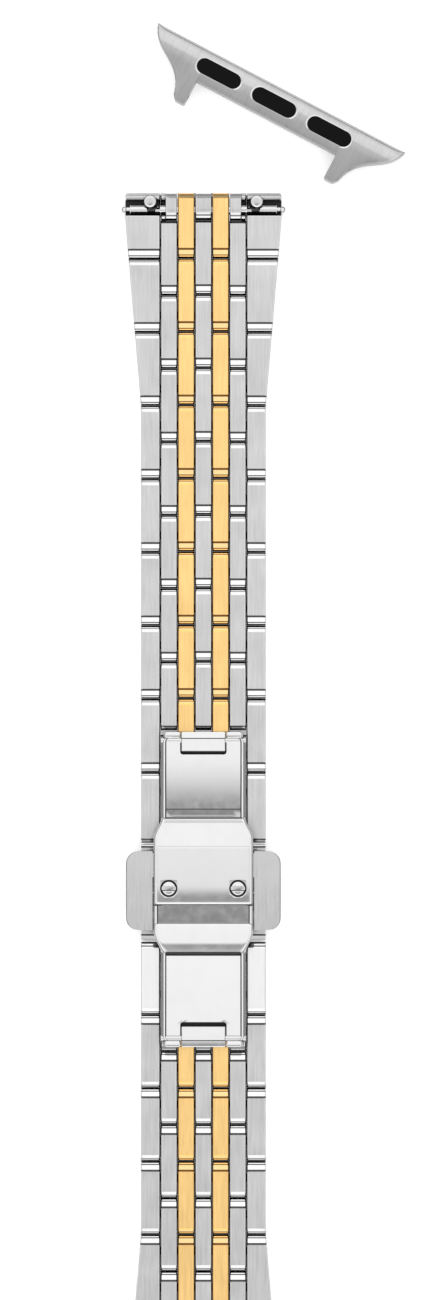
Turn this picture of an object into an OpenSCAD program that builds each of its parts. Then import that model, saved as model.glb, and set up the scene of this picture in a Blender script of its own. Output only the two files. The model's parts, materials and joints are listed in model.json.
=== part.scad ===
// Two-tone metal watch bracelet with a push-button butterfly clasp, quick-release ends
// and two slide-in adapters, seen with its skin side up.
// +Z points to the skin, +Y to the upper end. The outer faces lie on z = 0, and the
// origin is midway between the clasp's two hinge pins.

/* [Bracelet] */
// Gap between the lugs that the ends of the bracelet fill
lug_gap = 20; // [19:0.1:21]
// Width of the straight part
body_w = 15.8; // [15:0.1:17]
// Thickness of the links
link_t = 2.6; // [2.5:0.05:3]
// Distance from one outer link to the next
link_pitch = 9.29; // [9:0.01:10]
// Width that one inner column takes
column_w = 2.18; // [2.1:0.01:2.25]
// Number of outer links in the upper half
upper_rows = 8; // [4:1:8]
// Number of outer links in the lower half
lower_rows = 6; // [4:1:6]
// Number of outer links in each half that widen towards the end
taper_rows = 2; // [1:1:3]
// Bevel across each edge of a link
edge_bevel = 0.1; // [0.05:0.01:0.2]
// Length of the polished bevel at the end that faces the clasp
end_bevel_l = 1.14; // [0.6:0.02:1.5]
// Depth of that bevel
end_bevel_drop = 0.36; // [0.2:0.02:0.5]

/* [Fits] */
// Gap between the ends of two links in a column
end_gap = 0.16; // [0.1:0.01:0.25]
// Gap between two columns
column_gap = 0.12; // [0.08:0.01:0.2]
// Radius of the link pins
pin_r = 0.5; // [0.4:0.02:0.55]
// Radial clearance where a pin turns
run_clear = 0.05; // [0.03:0.01:0.08]
// Radial clearance where a pin is pressed in
press_clear = 0.01; // [0.01:0.005:0.02]
// Depth of the pin ends below the side faces
pin_recess = 0.12; // [0.05:0.01:0.3]
// Clearance between sliding or stacked clasp pieces
slide_clear = 0.12; // [0.08:0.01:0.2]

/* [Centre of the bracelet] */
// Length of each half's outer piece at the meeting line
centre_l = 5.91; // [5.7:0.01:6.4]
// Offset of the meeting line below the clasp's middle
meet_shift = 0.57; // [0.4:0.01:0.8]
// Thickness of the columns where they are milled for the clasp
milled_t = 2.1; // [2.05:0.01:2.2]
// Thickness of the centre tabs under the pushers
tab_t = 1.2; // [1:0.05:1.25]
// Depth of the groove that continues the column gap in a tab
groove_d = 0.3; // [0.2:0.05:0.5]
// Half width of the leaf's tab on the cross pin
tie_tab_half_w = 0.5; // [0.4:0.05:0.7]
// Radius of that tab round the cross pin
tie_tab_r = 0.75; // [0.7:0.01:0.78]

/* [Clasp] */
// Distance from the clasp's middle to each hinge pin
hinge_half = 18.83; // [18.4:0.01:19]
// Outer radius of the hinge knuckles
knuckle_r = 0.95; // [0.85:0.01:1]
// Half width of the leaf knuckle
tongue_half_w = 2.8; // [2.4:0.05:3.2]
// Reach of the leaf's tongue behind its pin
tongue_reach = 1.3; // [1:0.05:1.4]
// Height of the tongue behind the pin
tongue_t = 1.62; // [1.2:0.02:1.8]
// Gap behind the tongue
window_gap = 0.5; // [0.4:0.05:0.7]
// Distance of the hinge lugs from the edge of the clasp plate
lug_inset = 0.33; // [0.2:0.01:0.5]
// Gap between the hinge knuckles and the end of the milling
milling_gap = 0.15; // [0.12:0.01:0.2]
// Thickness of the leaves
leaf_t = 0.58; // [0.45:0.01:0.6]
// Half width of the leaves
leaf_half_w = 5.15; // [5:0.01:5.2]
// Half width of the clasp plate
plate_half_w = 5.4; // [5.3:0.01:5.42]
// Thickness of the plate's recessed floor
floor_t = 0.43; // [0.35:0.01:0.5]
// Height of the plate's rails above its floor
rail_h = 0.38; // [0.25:0.01:0.42]
// Width of the plate's rails
rail_w = 0.46; // [0.35:0.01:0.6]
// Flat between the bridge and the upper panel
upper_step = 1.04; // [0.8:0.01:1.3]
// Flat between the lip and the lower panel
lower_step = 0.76; // [0.6:0.01:1]
// Upper end of the raised bridge
bridge_y1 = 9.13; // [8.9:0.01:9.4]
// Lower edge of the bridge cover
bridge_y0 = -1.9; // [-2:0.01:-1.7]
// Upper edge of the lip below the bridge window
lip_y1 = -4.17; // [-4.3:0.01:-4]
// Lower edge of the lip
lip_y0 = -7.85; // [-8:0.01:-7.6]
// Half width of the bridge beside the pushers
bridge_half_w = 6.27; // [6.1:0.01:6.35]
// Length over which the bridge narrows at each end
flare_l = 2.6; // [2:0.1:3]
// Distance of the narrow ends of the bridge from the edge of the clasp plate
flare_inset = 0.1; // [0.05:0.01:0.2]
// Thickness of the walls at the ends of the cover
bridge_wall = 0.7; // [0.5:0.05:0.9]
// Place of the crease across the cover
crease_y = 5.51; // [5:0.01:6]
// Fall of the cover from its crease to its upper end
crease_fall = 0.42; // [0.2:0.01:0.5]
// Length of the rounding at the cover's upper end
bridge_fall = 0.9; // [0.6:0.05:1.2]
// Length of the rounding at the cover's lower edge
bridge_roll = 1; // [0.8:0.05:1.2]
// Height of the lip below the top of the bridge
lip_drop = 0.3; // [0.2:0.01:0.5]
// Radius at the lip's upper edge
lip_edge_r = 0.35; // [0.2:0.01:0.5]
// Length of the rounding at the lip's lower end
lip_fall = 1.3; // [1:0.05:1.8]
// Width of the rails beside the bridge window
window_rail_w = 0.5; // [0.4:0.01:0.6]
// Depth of the bridge window below the lip
window_drop = 0.22; // [0.15:0.01:0.3]
// Half width of the wall between the pusher springs
stop_half = 0.35; // [0.3:0.01:0.5]
// Distance from the middle to the inner end of a rib
rib_in = 1; // [0.8:0.05:1.5]
// Distance of a rib's outer end from the edge of the clasp plate
rib_inset = 0.6; // [0.4:0.05:1]
// Thickness of a rib
rib_t = 0.5; // [0.4:0.05:0.6]
// Height of the bridge's inner space above the plate
bridge_room = 0.85; // [0.8:0.01:1]
// Thickness of the bridge cover
bridge_t = 0.75; // [0.7:0.01:0.8]
// Distance of the bridge screws from the middle
screw_x = 4.36; // [4.3:0.01:4.4]
// Place of the bridge screws along the clasp
screw_y = 0.19; // [0.1:0.01:0.3]
// Radius of a screw head
screw_head_r = 0.92; // [0.8:0.01:1]
// Thickness of a screw head
screw_head_t = 0.4; // [0.3:0.01:0.5]
// Width and depth of a screw's slot
screw_slot = 0.24; // [0.2:0.01:0.28]
// Reach of a screw's shank into its head
screw_root = 0.1; // [0.05:0.01:0.2]
// Radius of a screw's shank
screw_r = 0.45; // [0.4:0.01:0.5]
// Radius of the boss round a screw
boss_r = 0.95; // [0.85:0.01:0.97]

/* [Pushers] */
// Travel of a pusher
pusher_travel = 0.95; // [0.6:0.05:0.95]
// Length of a pusher along the bracelet
pusher_l = 10.5; // [10.2:0.05:10.6]
// Middle of a pusher along the clasp
pusher_y = -0.19; // [-0.25:0.01:-0.15]
// Distance from the middle to a pusher's outer face
pusher_out = 9.86; // [9.5:0.01:10.2]
// Clearance between a pressed pusher and the clasp plate
pusher_clear = 0.07; // [0.05:0.01:0.1]
// Corner radius of a pusher
pusher_corner = 1.5; // [1:0.05:2]
// Width of a pusher's tongue
guide_w = 3.1; // [2.6:0.05:3.2]
// Middle of the tongues along the clasp
guide_y = 3.1; // [3.05:0.01:3.2]
// Distance from the middle to the inner end of a tongue
guide_in = 2.6; // [2.4:0.05:2.8]
// Outer radius of a pusher spring
pusher_spring_r = 0.34; // [0.3:0.01:0.36]
// Width of a pusher's claw along the bracelet
claw_w = 1; // [0.8:0.05:1.1]
// Distance of the claws from the meeting line
claw_y = 2.7; // [2.6:0.01:2.8]
// Gap between a claw and the edge of a leaf
claw_gap = 0.3; // [0.25:0.01:0.35]

/* [Ends and spring bars] */
// Length of an end piece beyond its last gap
end_l = 8.55; // [8.5:0.01:9]
// Clearance between an end piece and a lug
lug_clear = 0.09; // [0.05:0.01:0.15]
// Radius of the rounded tip of an end piece
tip_r = 2.1; // [2:0.01:2.2]
// Length of the straight side at the tip
straight_l = 3.3; // [3:0.05:3.5]
// Outer radius of a spring bar's tube
tube_r = 0.65; // [0.6:0.01:0.68]
// Half length of the tube
tube_half = 9.04; // [8.8:0.01:9.2]
// Radius of a spring bar's plunger
plunger_r = 0.45; // [0.4:0.01:0.48]
// Reach of a plunger past the end piece
plunger_out = 0.5; // [0.4:0.01:0.6]
// Travel of a plunger
plunger_travel = 1; // [0.7:0.05:1]
// Length of the cone at a plunger's tip
plunger_cone = 0.2; // [0.1:0.01:0.25]
// Reach of a plunger inwards from its knob
plunger_tail = 0.85; // [0.6:0.05:1]
// Gap between a spring bar's spring and its tube
coil_gap = 0.08; // [0.06:0.01:0.12]
// Distance from the middle to a release knob
knob_x = 6.74; // [6.6:0.01:6.8]
// Radius of a release knob
knob_r = 0.8; // [0.7:0.01:0.82]
// Lean of a knob from the spring bar towards the tip
knob_lean = 0.84; // [0.8:0.01:0.85]
// Thickness of a knob
knob_t = 0.5; // [0.4:0.01:0.55]
// Gap between a knob and the tube below it
knob_gap = 0.1; // [0.05:0.01:0.12]
// Radius of the stem that carries a knob
stem_r = 0.22; // [0.18:0.01:0.25]
// Inner edge of the windows over a spring bar
window_x = 4.8; // [4.6:0.01:4.85]
// Width of those windows
window_w = 2; // [1.9:0.01:2.1]
// Offset of those windows from the spring bar towards the tip
window_shift = 0.08; // [0:0.01:0.1]
// Thickness of the floor under a spring bar
window_floor = 0.53; // [0.4:0.01:0.55]

/* [Adapters] */
// Length of an adapter
adapter_l = 35.4; // [33:0.1:37]
// Depth of an adapter's bar
adapter_d = 4.33; // [4:0.01:4.8]
// Radius along the outer edges of an adapter
adapter_edge_r = 1.1; // [0.8:0.05:1.25]
// Length of an adapter's horns
horn_l = 3.38; // [3.3:0.01:3.6]
// Width of a horn at its tip
horn_w = 1.65; // [1.5:0.01:1.9]
// Length of the slant across the tip of a horn
horn_slant = 0.6; // [0.4:0.05:0.8]
// Width of that slant
horn_slant_w = 0.5; // [0.3:0.05:0.7]
// Depth of the holes in the horns
horn_hole_d = 1.1; // [0.9:0.01:1.2]
// Clearance between an end piece's tip and the adapter
adapter_clear = 0.15; // [0.12:0.01:0.2]
// Length of a pad
pad_l = 6; // [5.5:0.05:6.5]
// Width of a pad
pad_w = 1.95; // [1.7:0.01:2.1]
// Distance from one pad to the next
pad_pitch = 7.9; // [7.2:0.05:8.5]
// Depth of the pad pockets
pad_depth = 2.1; // [1.8:0.05:2.2]
// Travel of the middle pad, which is the catch
catch_travel = 0.45; // [0.3:0.05:0.5]
// Clearance round a pad
pad_clear = 0.04; // [0.03:0.01:0.06]
// Turn of the loose adapter where it lies
loose_turn = -27.7; // [-40:0.1:-20]
// Place of the loose adapter across the bracelet
loose_x = 8.95; // [6:0.05:12]
// Place of the loose adapter along the bracelet
loose_y = 99.6; // [99:0.05:110]

/* [Hidden] */
$fn = 48;
// Length of cutting shapes that run right through
REACH = 200;
// Distance that other cutting shapes run past the surface
CUT = 1;
// Distance that the parts of one solid run into each other
JOIN = 0.5;

quarter = link_pitch / 4;
end_r = quarter - end_gap / 2;
pin_z = link_t / 2;
end_w = lug_gap - 2 * lug_clear;
outer_in = 2.5 * column_w + column_gap / 2;
hinge_z = milled_t + slide_clear + knuckle_r;
leaf_z0 = milled_t + slide_clear;
leaf_z1 = leaf_z0 + leaf_t;
plate_z0 = leaf_z1 + slide_clear;
floor_z = plate_z0 + floor_t;
plate_z1 = floor_z + rail_h;
room_z1 = plate_z1 + bridge_room;
bridge_z1 = room_z1 + bridge_t;
lip_z1 = bridge_z1 - lip_drop;
pusher_z0 = tab_t + slide_clear;
pusher_z1 = room_z1 - slide_clear;
pusher_in = plate_half_w + pusher_travel + pusher_clear;
guide_z0 = plate_z1 + slide_clear;
spring_z = (guide_z0 + pusher_z1) / 2;
claw_in = leaf_half_w + claw_gap;
bridge_end_w = plate_half_w - flare_inset;
lug_in = tongue_half_w + slide_clear;
tie_y = centre_l - quarter;
tie_half = 2.5 * column_w - pin_recess;
bar_z1 = pin_z + tube_r;
knob_z0 = bar_z1 + knob_gap;
tube_in_r = plunger_r + run_clear;
plunger_tip = end_w / 2 + plunger_out;
plunger_in = knob_x - plunger_tail;
bar_edge = tip_r + adapter_clear;

// The points that pull the flank of an adapter inwards: from its corner, and past its horn
heel = [0.8, 0.9];
flank = [0.95, 1.6];

function rows(side) = side > 0 ? upper_rows : lower_rows;
function half_name(side) = side > 0 ? "upper" : "lower";
function outer_start(n) = centre_l + (n - 1) * link_pitch;
function inner_start(n) = outer_start(n) + link_pitch / 2;
function hinge_y(side) = hinge_half + side * meet_shift;
function milled_y(side) = hinge_y(side) + knuckle_r + milling_gap;
function taper_y(side) = outer_start(rows(side) - taper_rows + 1);
function tip_y(side) = outer_start(rows(side) + 1) + end_l;
function bar_y(side) = tip_y(side) - tip_r;
function taper_angle(side) =
    atan((end_w - body_w) / 2 / (tip_y(side) - straight_l - taper_y(side)));
function side_x(side, y) =
    min(end_w / 2, body_w / 2 + max(0, y - taper_y(side)) * tan(taper_angle(side)));
function bezier(a, b, c, d, t) =
    pow(1 - t, 3) * a + 3 * t * pow(1 - t, 2) * b + 3 * t * t * (1 - t) * c + pow(t, 3) * d;
function ease(t) = t * t * (3 - 2 * t);

SIDES = [1, -1];

// Places one half of the bracelet, drawn upwards from the meeting line
module half(side) {
    translate([0, -meet_shift, 0])
        if (side > 0) children();
        else mirror([0, 1, 0]) children();
}

// Repeats the right-hand piece on the left
module both() {
    children();
    mirror([1, 0, 0]) children();
}

// Extrudes an outline of y and z from x0 to x1
module across(x0, x1) {
    translate([x0, 0, 0])
        rotate([90, 0, 90])
            linear_extrude(x1 - x0) children();
}

// A bar of the given thickness along y, with bevelled edges
module bevelled_bar(x0, x1, y0, y1, t) {
    b = edge_bevel;
    translate([0, y1, 0])
        rotate([90, 0, 0])
            linear_extrude(y1 - y0)
                polygon([
                    [x0 + b, 0], [x1 - b, 0], [x1, b], [x1, t - b],
                    [x1 - b, t], [x0 + b, t], [x0, t - b], [x0, b]
                ]);
}

// Side view of a link that starts at y0, with its two pin holes
module link_outline(y0, hole_r) {
    near = y0 + end_gap / 2;
    far = y0 + link_pitch - end_gap / 2;
    difference() {
        intersection() {
            union() {
                for (pin = [y0 + quarter, y0 + 3 * quarter])
                    translate([pin, pin_z]) circle(end_r);
                translate([y0 + quarter, 0]) square([2 * quarter, link_t]);
            }
            polygon([
                [near, end_bevel_drop], [near + end_bevel_l, 0], [far, 0],
                [far, link_t], [near + end_bevel_l, link_t], [near, link_t - end_bevel_drop]
            ]);
        }
        for (pin = [y0 + quarter, y0 + 3 * quarter])
            translate([pin, pin_z]) circle(hole_r);
    }
}

// Space taken by the right outer column, which widens near the end of the bracelet
module outer_column(side, y0, y1) {
    intersection() {
        bevelled_bar(outer_in, end_w / 2, y0, y1, link_t);
        if (y1 > taper_y(side) + end_gap)
            translate([body_w / 2, taper_y(side), 0])
                rotate([0, 0, -taper_angle(side)])
                    bevelled_bar(
                        -body_w, 0, y0 - taper_y(side) - 2 * CUT, y1 - taper_y(side) + 2 * CUT, link_t
                    );
        else
            bevelled_bar(0, body_w / 2, y0, y1, link_t);
    }
}

// Space that the clasp needs above the milled inner columns
module milling(side) {
    translate([-column_w * 3, -CUT, milled_t])
        cube([column_w * 6, milled_y(side) + CUT, link_t]);
}

// A pin across the bracelet
module link_pin(side, y) {
    reach = side_x(side, y) - pin_recess;
    across(-reach, reach) translate([y, pin_z]) circle(pin_r);
}

// Outer link n: two steel outer pieces, two gold pieces and the two pins that hold them
module outer_link(side, n) {
    y0 = outer_start(n);
    half(side) {
        color("silver") both() intersection() {
            across(outer_in, end_w) link_outline(y0, pin_r + press_clear);
            outer_column(side, y0, y0 + link_pitch);
        }
        color("goldenrod") both() difference() {
            intersection() {
                across(column_w / 2, column_w * 1.5) link_outline(y0, pin_r + press_clear);
                bevelled_bar(
                    (column_w + column_gap) / 2, column_w * 1.5 - column_gap / 2,
                    y0, y0 + link_pitch, link_t
                );
            }
            if (y0 < milled_y(side)) milling(side);
        }
        color("gray") for (pin = [quarter, 3 * quarter]) link_pin(side, y0 + pin);
    }
}

// Space taken by the three steel inner columns
module inner_columns(y0, y1, t) {
    bevelled_bar(-(column_w - column_gap) / 2, (column_w - column_gap) / 2, y0, y1, t);
    both()
        bevelled_bar(
            column_w * 1.5 + column_gap / 2, column_w * 2.5 - column_gap / 2, y0, y1, t
        );
}

// Inner link n: three steel pieces that turn on the pins of the outer links
module inner_link(side, n) {
    y0 = inner_start(n);
    meets_hinge = y0 < milled_y(side) && y0 + quarter > milled_y(side);
    color("silver") half(side) difference() {
        intersection() {
            across(-outer_in, outer_in) link_outline(y0, pin_r + run_clear);
            inner_columns(y0, y0 + link_pitch, link_t);
        }
        if (y0 < milled_y(side)) milling(side);
        if (meets_hinge)
            translate([-outer_in, y0, -CUT])
                cube([2 * outer_in, milled_y(side) + slide_clear - y0, link_t + 2 * CUT]);
    }
}

// Side view of a centre column, from the meeting line to y1
module centre_outline(y1, t, holes) {
    difference() {
        intersection() {
            translate([end_gap / 2, 0]) square([y1 - end_gap, t]);
            union() {
                translate([y1 - quarter, pin_z]) circle(end_r);
                square([y1 - quarter, link_t]);
            }
        }
        for (h = holes) translate([h[0], pin_z]) circle(h[1]);
    }
}

// Steel centre pieces, which are fixed to a leaf, and their cross pin
module centre_steel(side) {
    y1 = centre_l + link_pitch / 2;
    holes = [[tie_y, pin_r + press_clear], [y1 - quarter, pin_r + run_clear]];
    slot_half = tie_tab_half_w + slide_clear;
    color("silver") half(side) {
        difference() {
            intersection() {
                across(-column_w, column_w) centre_outline(y1, milled_t, holes);
                bevelled_bar(
                    -(column_w - column_gap) / 2, (column_w - column_gap) / 2, 0, y1, milled_t
                );
            }
            translate([-slot_half, tie_y - quarter, pin_z - tie_tab_r - slide_clear])
                cube([2 * slot_half, 2 * quarter, link_t]);
        }
        both() difference() {
            union() {
                intersection() {
                    across(column_w, outer_in) centre_outline(y1, milled_t, holes);
                    bevelled_bar(
                        column_w * 1.5 + column_gap / 2, column_w * 2.5 - column_gap / 2,
                        0, y1, milled_t
                    );
                }
                intersection() {
                    bevelled_bar(
                        column_w * 2, body_w / 2, end_gap / 2, centre_l - end_gap / 2, tab_t
                    );
                    across(column_w * 2, body_w / 2)
                        centre_outline(centre_l, tab_t, [[tie_y, pin_r + press_clear]]);
                }
            }
            translate([column_w * 2.5 - column_gap / 2, 0, -CUT])
                cube([column_gap, centre_l, groove_d + CUT]);
            across(column_w, body_w) translate([tie_y, pin_z]) circle(pin_r + press_clear);
        }
        color("gray") across(-tie_half, tie_half) translate([tie_y, pin_z]) circle(pin_r);
    }
}

// Gold centre pieces
module centre_gold(side) {
    color("goldenrod") half(side) both() intersection() {
        across(0, column_w * 2)
            centre_outline(centre_l, milled_t, [[tie_y, pin_r + press_clear]]);
        bevelled_bar(
            (column_w + column_gap) / 2, column_w * 1.5 - column_gap / 2, 0, centre_l, milled_t
        );
    }
}

// Leaf: a thin plate with its knuckle and tongue at the hinge and a tab on the tie pin
module leaf(side) {
    pin_y = hinge_y(side);
    y0 = 2 * slide_clear;
    y1 = pin_y - knuckle_r - window_gap;
    notch_in = claw_in - pusher_travel - slide_clear;
    color("silver") half(side) difference() {
        union() {
            translate([-leaf_half_w, y0, leaf_z0]) cube([2 * leaf_half_w, y1 - y0, leaf_t]);
            across(-tongue_half_w, tongue_half_w) {
                translate([y1 - JOIN, leaf_z0]) square([pin_y - y1 + JOIN, leaf_t]);
                translate([pin_y, hinge_z]) circle(knuckle_r);
                translate([pin_y - tongue_reach, leaf_z0]) square([tongue_reach, tongue_t]);
            }
            across(-tie_tab_half_w, tie_tab_half_w) {
                translate([tie_y, pin_z]) circle(tie_tab_r);
                translate([tie_y - tie_tab_r, pin_z])
                    square([2 * tie_tab_r, leaf_z0 + leaf_t / 2 - pin_z]);
            }
        }
        across(-REACH, REACH) translate([pin_y, hinge_z]) circle(pin_r + run_clear);
        across(-CUT, CUT) translate([tie_y, pin_z]) circle(pin_r + press_clear);
        // Notches that the claws of the pushers enter
        both()
            translate([notch_in, claw_y - claw_w / 2 - 2 * slide_clear, 0])
                cube([leaf_half_w, claw_w + 4 * slide_clear, link_t * 2]);
    }
}

// Plan of the raised bridge: full width beside the pushers, narrower at both ends
module bridge_plan() {
    steps = 10;
    flare = bridge_half_w - bridge_end_w;
    lower_points = [for (i = [0:steps])
        [bridge_end_w + flare * ease(i / steps), lip_y0 + flare_l * i / steps]
    ];
    upper_points = [for (i = [steps:-1:0])
        [bridge_end_w + flare * ease(i / steps), bridge_y1 - flare_l * i / steps]
    ];
    right = concat(lower_points, upper_points);
    polygon(concat(right, [for (i = [len(right) - 1:-1:0]) [-right[i][0], right[i][1]]]));
}

// Clasp plate with its hinge lugs, recessed panels, screw bosses and rounded lip
module clasp_frame() {
    window_y = hinge_half - tongue_reach - window_gap;
    room_y0 = guide_y - guide_w / 2 - slide_clear;
    room_y1 = guide_y + guide_w / 2 + slide_clear;
    color("silver") difference() {
        union() {
            difference() {
                translate([-plate_half_w, -hinge_half, plate_z0])
                    cube([2 * plate_half_w, 2 * hinge_half, plate_z1 - plate_z0]);
                // Recessed panels above and below the bridge
                for (p = [[bridge_y1 + upper_step, hinge_half], [-hinge_half, lip_y0 - lower_step]])
                    translate([rail_w - plate_half_w, p[0], floor_z])
                        cube([2 * (plate_half_w - rail_w), p[1] - p[0], link_t]);
            }
            for (s = SIDES)
                both() across(lug_in, plate_half_w - lug_inset)
                    translate([s * hinge_half, hinge_z]) circle(knuckle_r);
            // Lip below the bridge window
            difference() {
                intersection() {
                    across(-bridge_half_w, bridge_half_w) lip_outline();
                    translate([0, 0, plate_z0]) linear_extrude(link_t * 2) bridge_plan();
                }
                pusher_room();
            }
            bridge_window();
            // Bosses for the screws and the wall that the springs push on
            both() translate([screw_x, screw_y, plate_z0])
                cylinder(room_z1 - plate_z0, boss_r, boss_r);
            translate([-stop_half, room_y0, plate_z0])
                cube([2 * stop_half, room_y1 - room_y0, pusher_z1 - plate_z0]);
            // Ribs beside the pusher tongues
            both() translate([rib_in, room_y1, plate_z0])
                cube([plate_half_w - rib_inset - rib_in, rib_t, pusher_z1 - plate_z0]);
        }
        // Windows for the tongues of the leaves
        for (s = SIDES)
            translate([-lug_in, s > 0 ? window_y : -hinge_half - CUT, plate_z0 - CUT])
                cube([2 * lug_in, hinge_half + CUT - window_y, plate_z1 - plate_z0 + 2 * CUT]);
        for (s = SIDES)
            across(-REACH, REACH) translate([s * hinge_half, hinge_z]) circle(pin_r + press_clear);
        both() translate([screw_x, screw_y, plate_z0 - CUT])
            cylinder(link_t * 2, screw_r + press_clear, screw_r + press_clear);
    }
}

// Side view of the lip
module lip_outline() {
    steps = 8;
    r = lip_edge_r;
    polygon(concat(
        [[lip_y1, plate_z0]],
        [for (i = [0:steps]) [
            lip_y1 - r + r * cos(90 * i / steps), lip_z1 - r + r * sin(90 * i / steps)
        ]],
        [for (i = [0:steps]) [
            lip_y0 + lip_fall * (1 - sin(90 * i / steps)),
            plate_z1 + (lip_z1 - plate_z1) * cos(90 * i / steps)
        ]],
        [[lip_y0, plate_z0]]
    ));
}

// Floor and side rails of the window between the lip and the bridge cover
module bridge_window() {
    y0 = lip_y1 - JOIN;
    l = bridge_y0 - slide_clear - y0;
    difference() {
        union() {
            translate([-bridge_half_w, y0, plate_z0])
                cube([2 * bridge_half_w, l, lip_z1 - window_drop - plate_z0]);
            both() translate([bridge_half_w - window_rail_w, y0, plate_z0])
                cube([window_rail_w, l, lip_z1 - plate_z0]);
        }
        pusher_room();
    }
}

// Side view of the bridge cover: a roof with a rounded wall at each end
module bridge_outline() {
    steps = 8;
    room_l = bridge_y1 - bridge_y0 - 2 * bridge_wall - bridge_fall;
    difference() {
        polygon(concat(
            [[bridge_y1, plate_z1]],
            [for (i = [0:steps]) [
                bridge_y1 - bridge_fall * (1 - cos(90 * i / steps)),
                plate_z1 + (bridge_z1 - crease_fall - plate_z1) * sin(90 * i / steps)
            ]],
            [[crease_y, bridge_z1]],
            [for (i = [0:steps]) [
                bridge_y0 + bridge_roll * (1 - sin(90 * i / steps)),
                bridge_z1 - bridge_roll * (1 - cos(90 * i / steps))
            ]],
            [[bridge_y0, plate_z1]]
        ));
        translate([bridge_y0 + bridge_wall, plate_z1 - CUT]) square([room_l, bridge_room + CUT]);
    }
}

// Openings that the pushers move in, below the sides of the lip and of the bridge cover
module pusher_room() {
    room_l = pusher_l + 2 * slide_clear;
    both() translate([plate_half_w, pusher_y - room_l / 2, 0]) cube([link_t, room_l, room_z1]);
}

// Bridge cover, screwed on over the pusher tongues
module clasp_bridge() {
    color("silver") difference() {
        intersection() {
            across(-bridge_half_w, bridge_half_w) bridge_outline();
            linear_extrude(link_t * 3) bridge_plan();
        }
        pusher_room();
        // Countersunk places of the screws
        both() translate([screw_x, screw_y, 0]) {
            cylinder(link_t * 3, screw_r + run_clear, screw_r + run_clear);
            translate([0, 0, bridge_z1 - screw_head_t - slide_clear])
                cylinder(link_t, screw_head_r + slide_clear, screw_head_r + slide_clear);
        }
    }
}

// The two slotted screws that hold the bridge
module bridge_screws() {
    head_z = bridge_z1 - screw_head_t - slide_clear + press_clear;
    color("gainsboro") both() translate([screw_x, screw_y, 0]) difference() {
        union() {
            translate([0, 0, head_z]) cylinder(screw_head_t, screw_head_r, screw_head_r);
            translate([0, 0, plate_z0])
                cylinder(head_z + screw_root - plate_z0, screw_r, screw_r);
        }
        translate([-2 * screw_head_r, -screw_slot / 2, head_z + screw_head_t - screw_slot])
            cube([4 * screw_head_r, screw_slot, CUT]);
    }
}

// The two hinge pins
module hinge_pins() {
    color("gainsboro") for (s = SIDES)
        across(-plate_half_w, plate_half_w) translate([s * hinge_half, hinge_z]) circle(pin_r);
}

// Right-hand pusher: a rounded block with a tongue under the bridge and two claws
module pusher() {
    low = pusher_y - pusher_l / 2;
    r = pusher_corner;
    t = pusher_z1 - pusher_z0;
    color("silver") {
        translate([0, 0, pusher_z0]) intersection() {
            union() {
                translate([pusher_in, low, 0])
                    cube([pusher_out - r - pusher_in, pusher_l, t]);
                translate([pusher_in, low + r, 0])
                    cube([pusher_out - pusher_in, pusher_l - 2 * r, t]);
                for (y = [low + r, low + pusher_l - r])
                    translate([pusher_out - r, y, 0]) cylinder(t, r, r);
            }
            bevelled_bar(pusher_in - CUT, pusher_out, low - CUT, low + pusher_l + CUT, t);
        }
        translate([guide_in, guide_y - guide_w / 2, guide_z0])
            cube([pusher_in - guide_in + JOIN, guide_w, pusher_z1 - guide_z0]);
        for (s = SIDES)
            translate([claw_in, s * claw_y - meet_shift - claw_w / 2, leaf_z0])
                cube([pusher_in - claw_in + JOIN, claw_w, leaf_t]);
    }
}

// Spring between the middle wall and the right-hand pusher's tongue
module pusher_spring() {
    color("dimgray") translate([stop_half, guide_y, spring_z]) rotate([0, 90, 0]) difference() {
        cylinder(guide_in - stop_half, pusher_spring_r, pusher_spring_r);
        translate([0, 0, -CUT]) cylinder(guide_in + CUT, pusher_spring_r / 2, pusher_spring_r / 2);
    }
}

// Side view of an end piece's column, from y0 to the rounded tip
module end_outline(side, y0, pinned) {
    y1 = tip_y(side);
    pin_y = outer_start(rows(side) + 1) + quarter;
    difference() {
        intersection() {
            translate([y0, 0]) square([y1 - y0, link_t]);
            union() {
                translate([bar_y(side), pin_z]) circle(tip_r);
                translate([pinned ? pin_y : y0, 0])
                    square([bar_y(side) - (pinned ? pin_y : y0), link_t]);
                if (pinned) translate([pin_y, pin_z]) circle(end_r);
            }
            if (pinned)
                polygon([
                    [y0, end_bevel_drop], [y0 + end_bevel_l, 0], [y1, 0],
                    [y1, link_t], [y0 + end_bevel_l, link_t], [y0, link_t - end_bevel_drop]
                ]);
            else
                translate([y0, 0]) square([y1 - y0, link_t]);
        }
        translate([bar_y(side), pin_z]) circle(tube_r + press_clear);
        if (pinned) translate([pin_y, pin_z]) circle(pin_r + press_clear);
    }
}

// Steel end pieces with windows over the spring bar, and the last link pin
module end_steel(side) {
    near = outer_start(rows(side) + 1) + end_gap / 2;
    short = inner_start(rows(side) + 1) + end_gap / 2;
    bar = bar_y(side);
    lean_y = bar + window_shift;
    color("silver") half(side) {
        intersection() {
            across(-column_w, column_w) end_outline(side, short, false);
            bevelled_bar(
                -(column_w - column_gap) / 2, (column_w - column_gap) / 2,
                short, short + end_l, link_t
            );
        }
        both() difference() {
            union() {
                intersection() {
                    across(column_w, outer_in + column_gap) end_outline(side, short, false);
                    bevelled_bar(
                        column_w * 1.5 + column_gap / 2, outer_in + column_gap,
                        short, short + end_l, link_t
                    );
                }
                intersection() {
                    across(outer_in, end_w) end_outline(side, near, true);
                    outer_column(side, near, near + end_l + CUT);
                }
            }
            translate([window_x, lean_y - window_w / 2, window_floor])
                cube([end_w, window_w, link_t]);
            translate([window_x, bar, bar_z1]) cube([end_w, tip_r + CUT, link_t]);
        }
        color("gray") link_pin(side, outer_start(rows(side) + 1) + quarter);
    }
}

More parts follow.
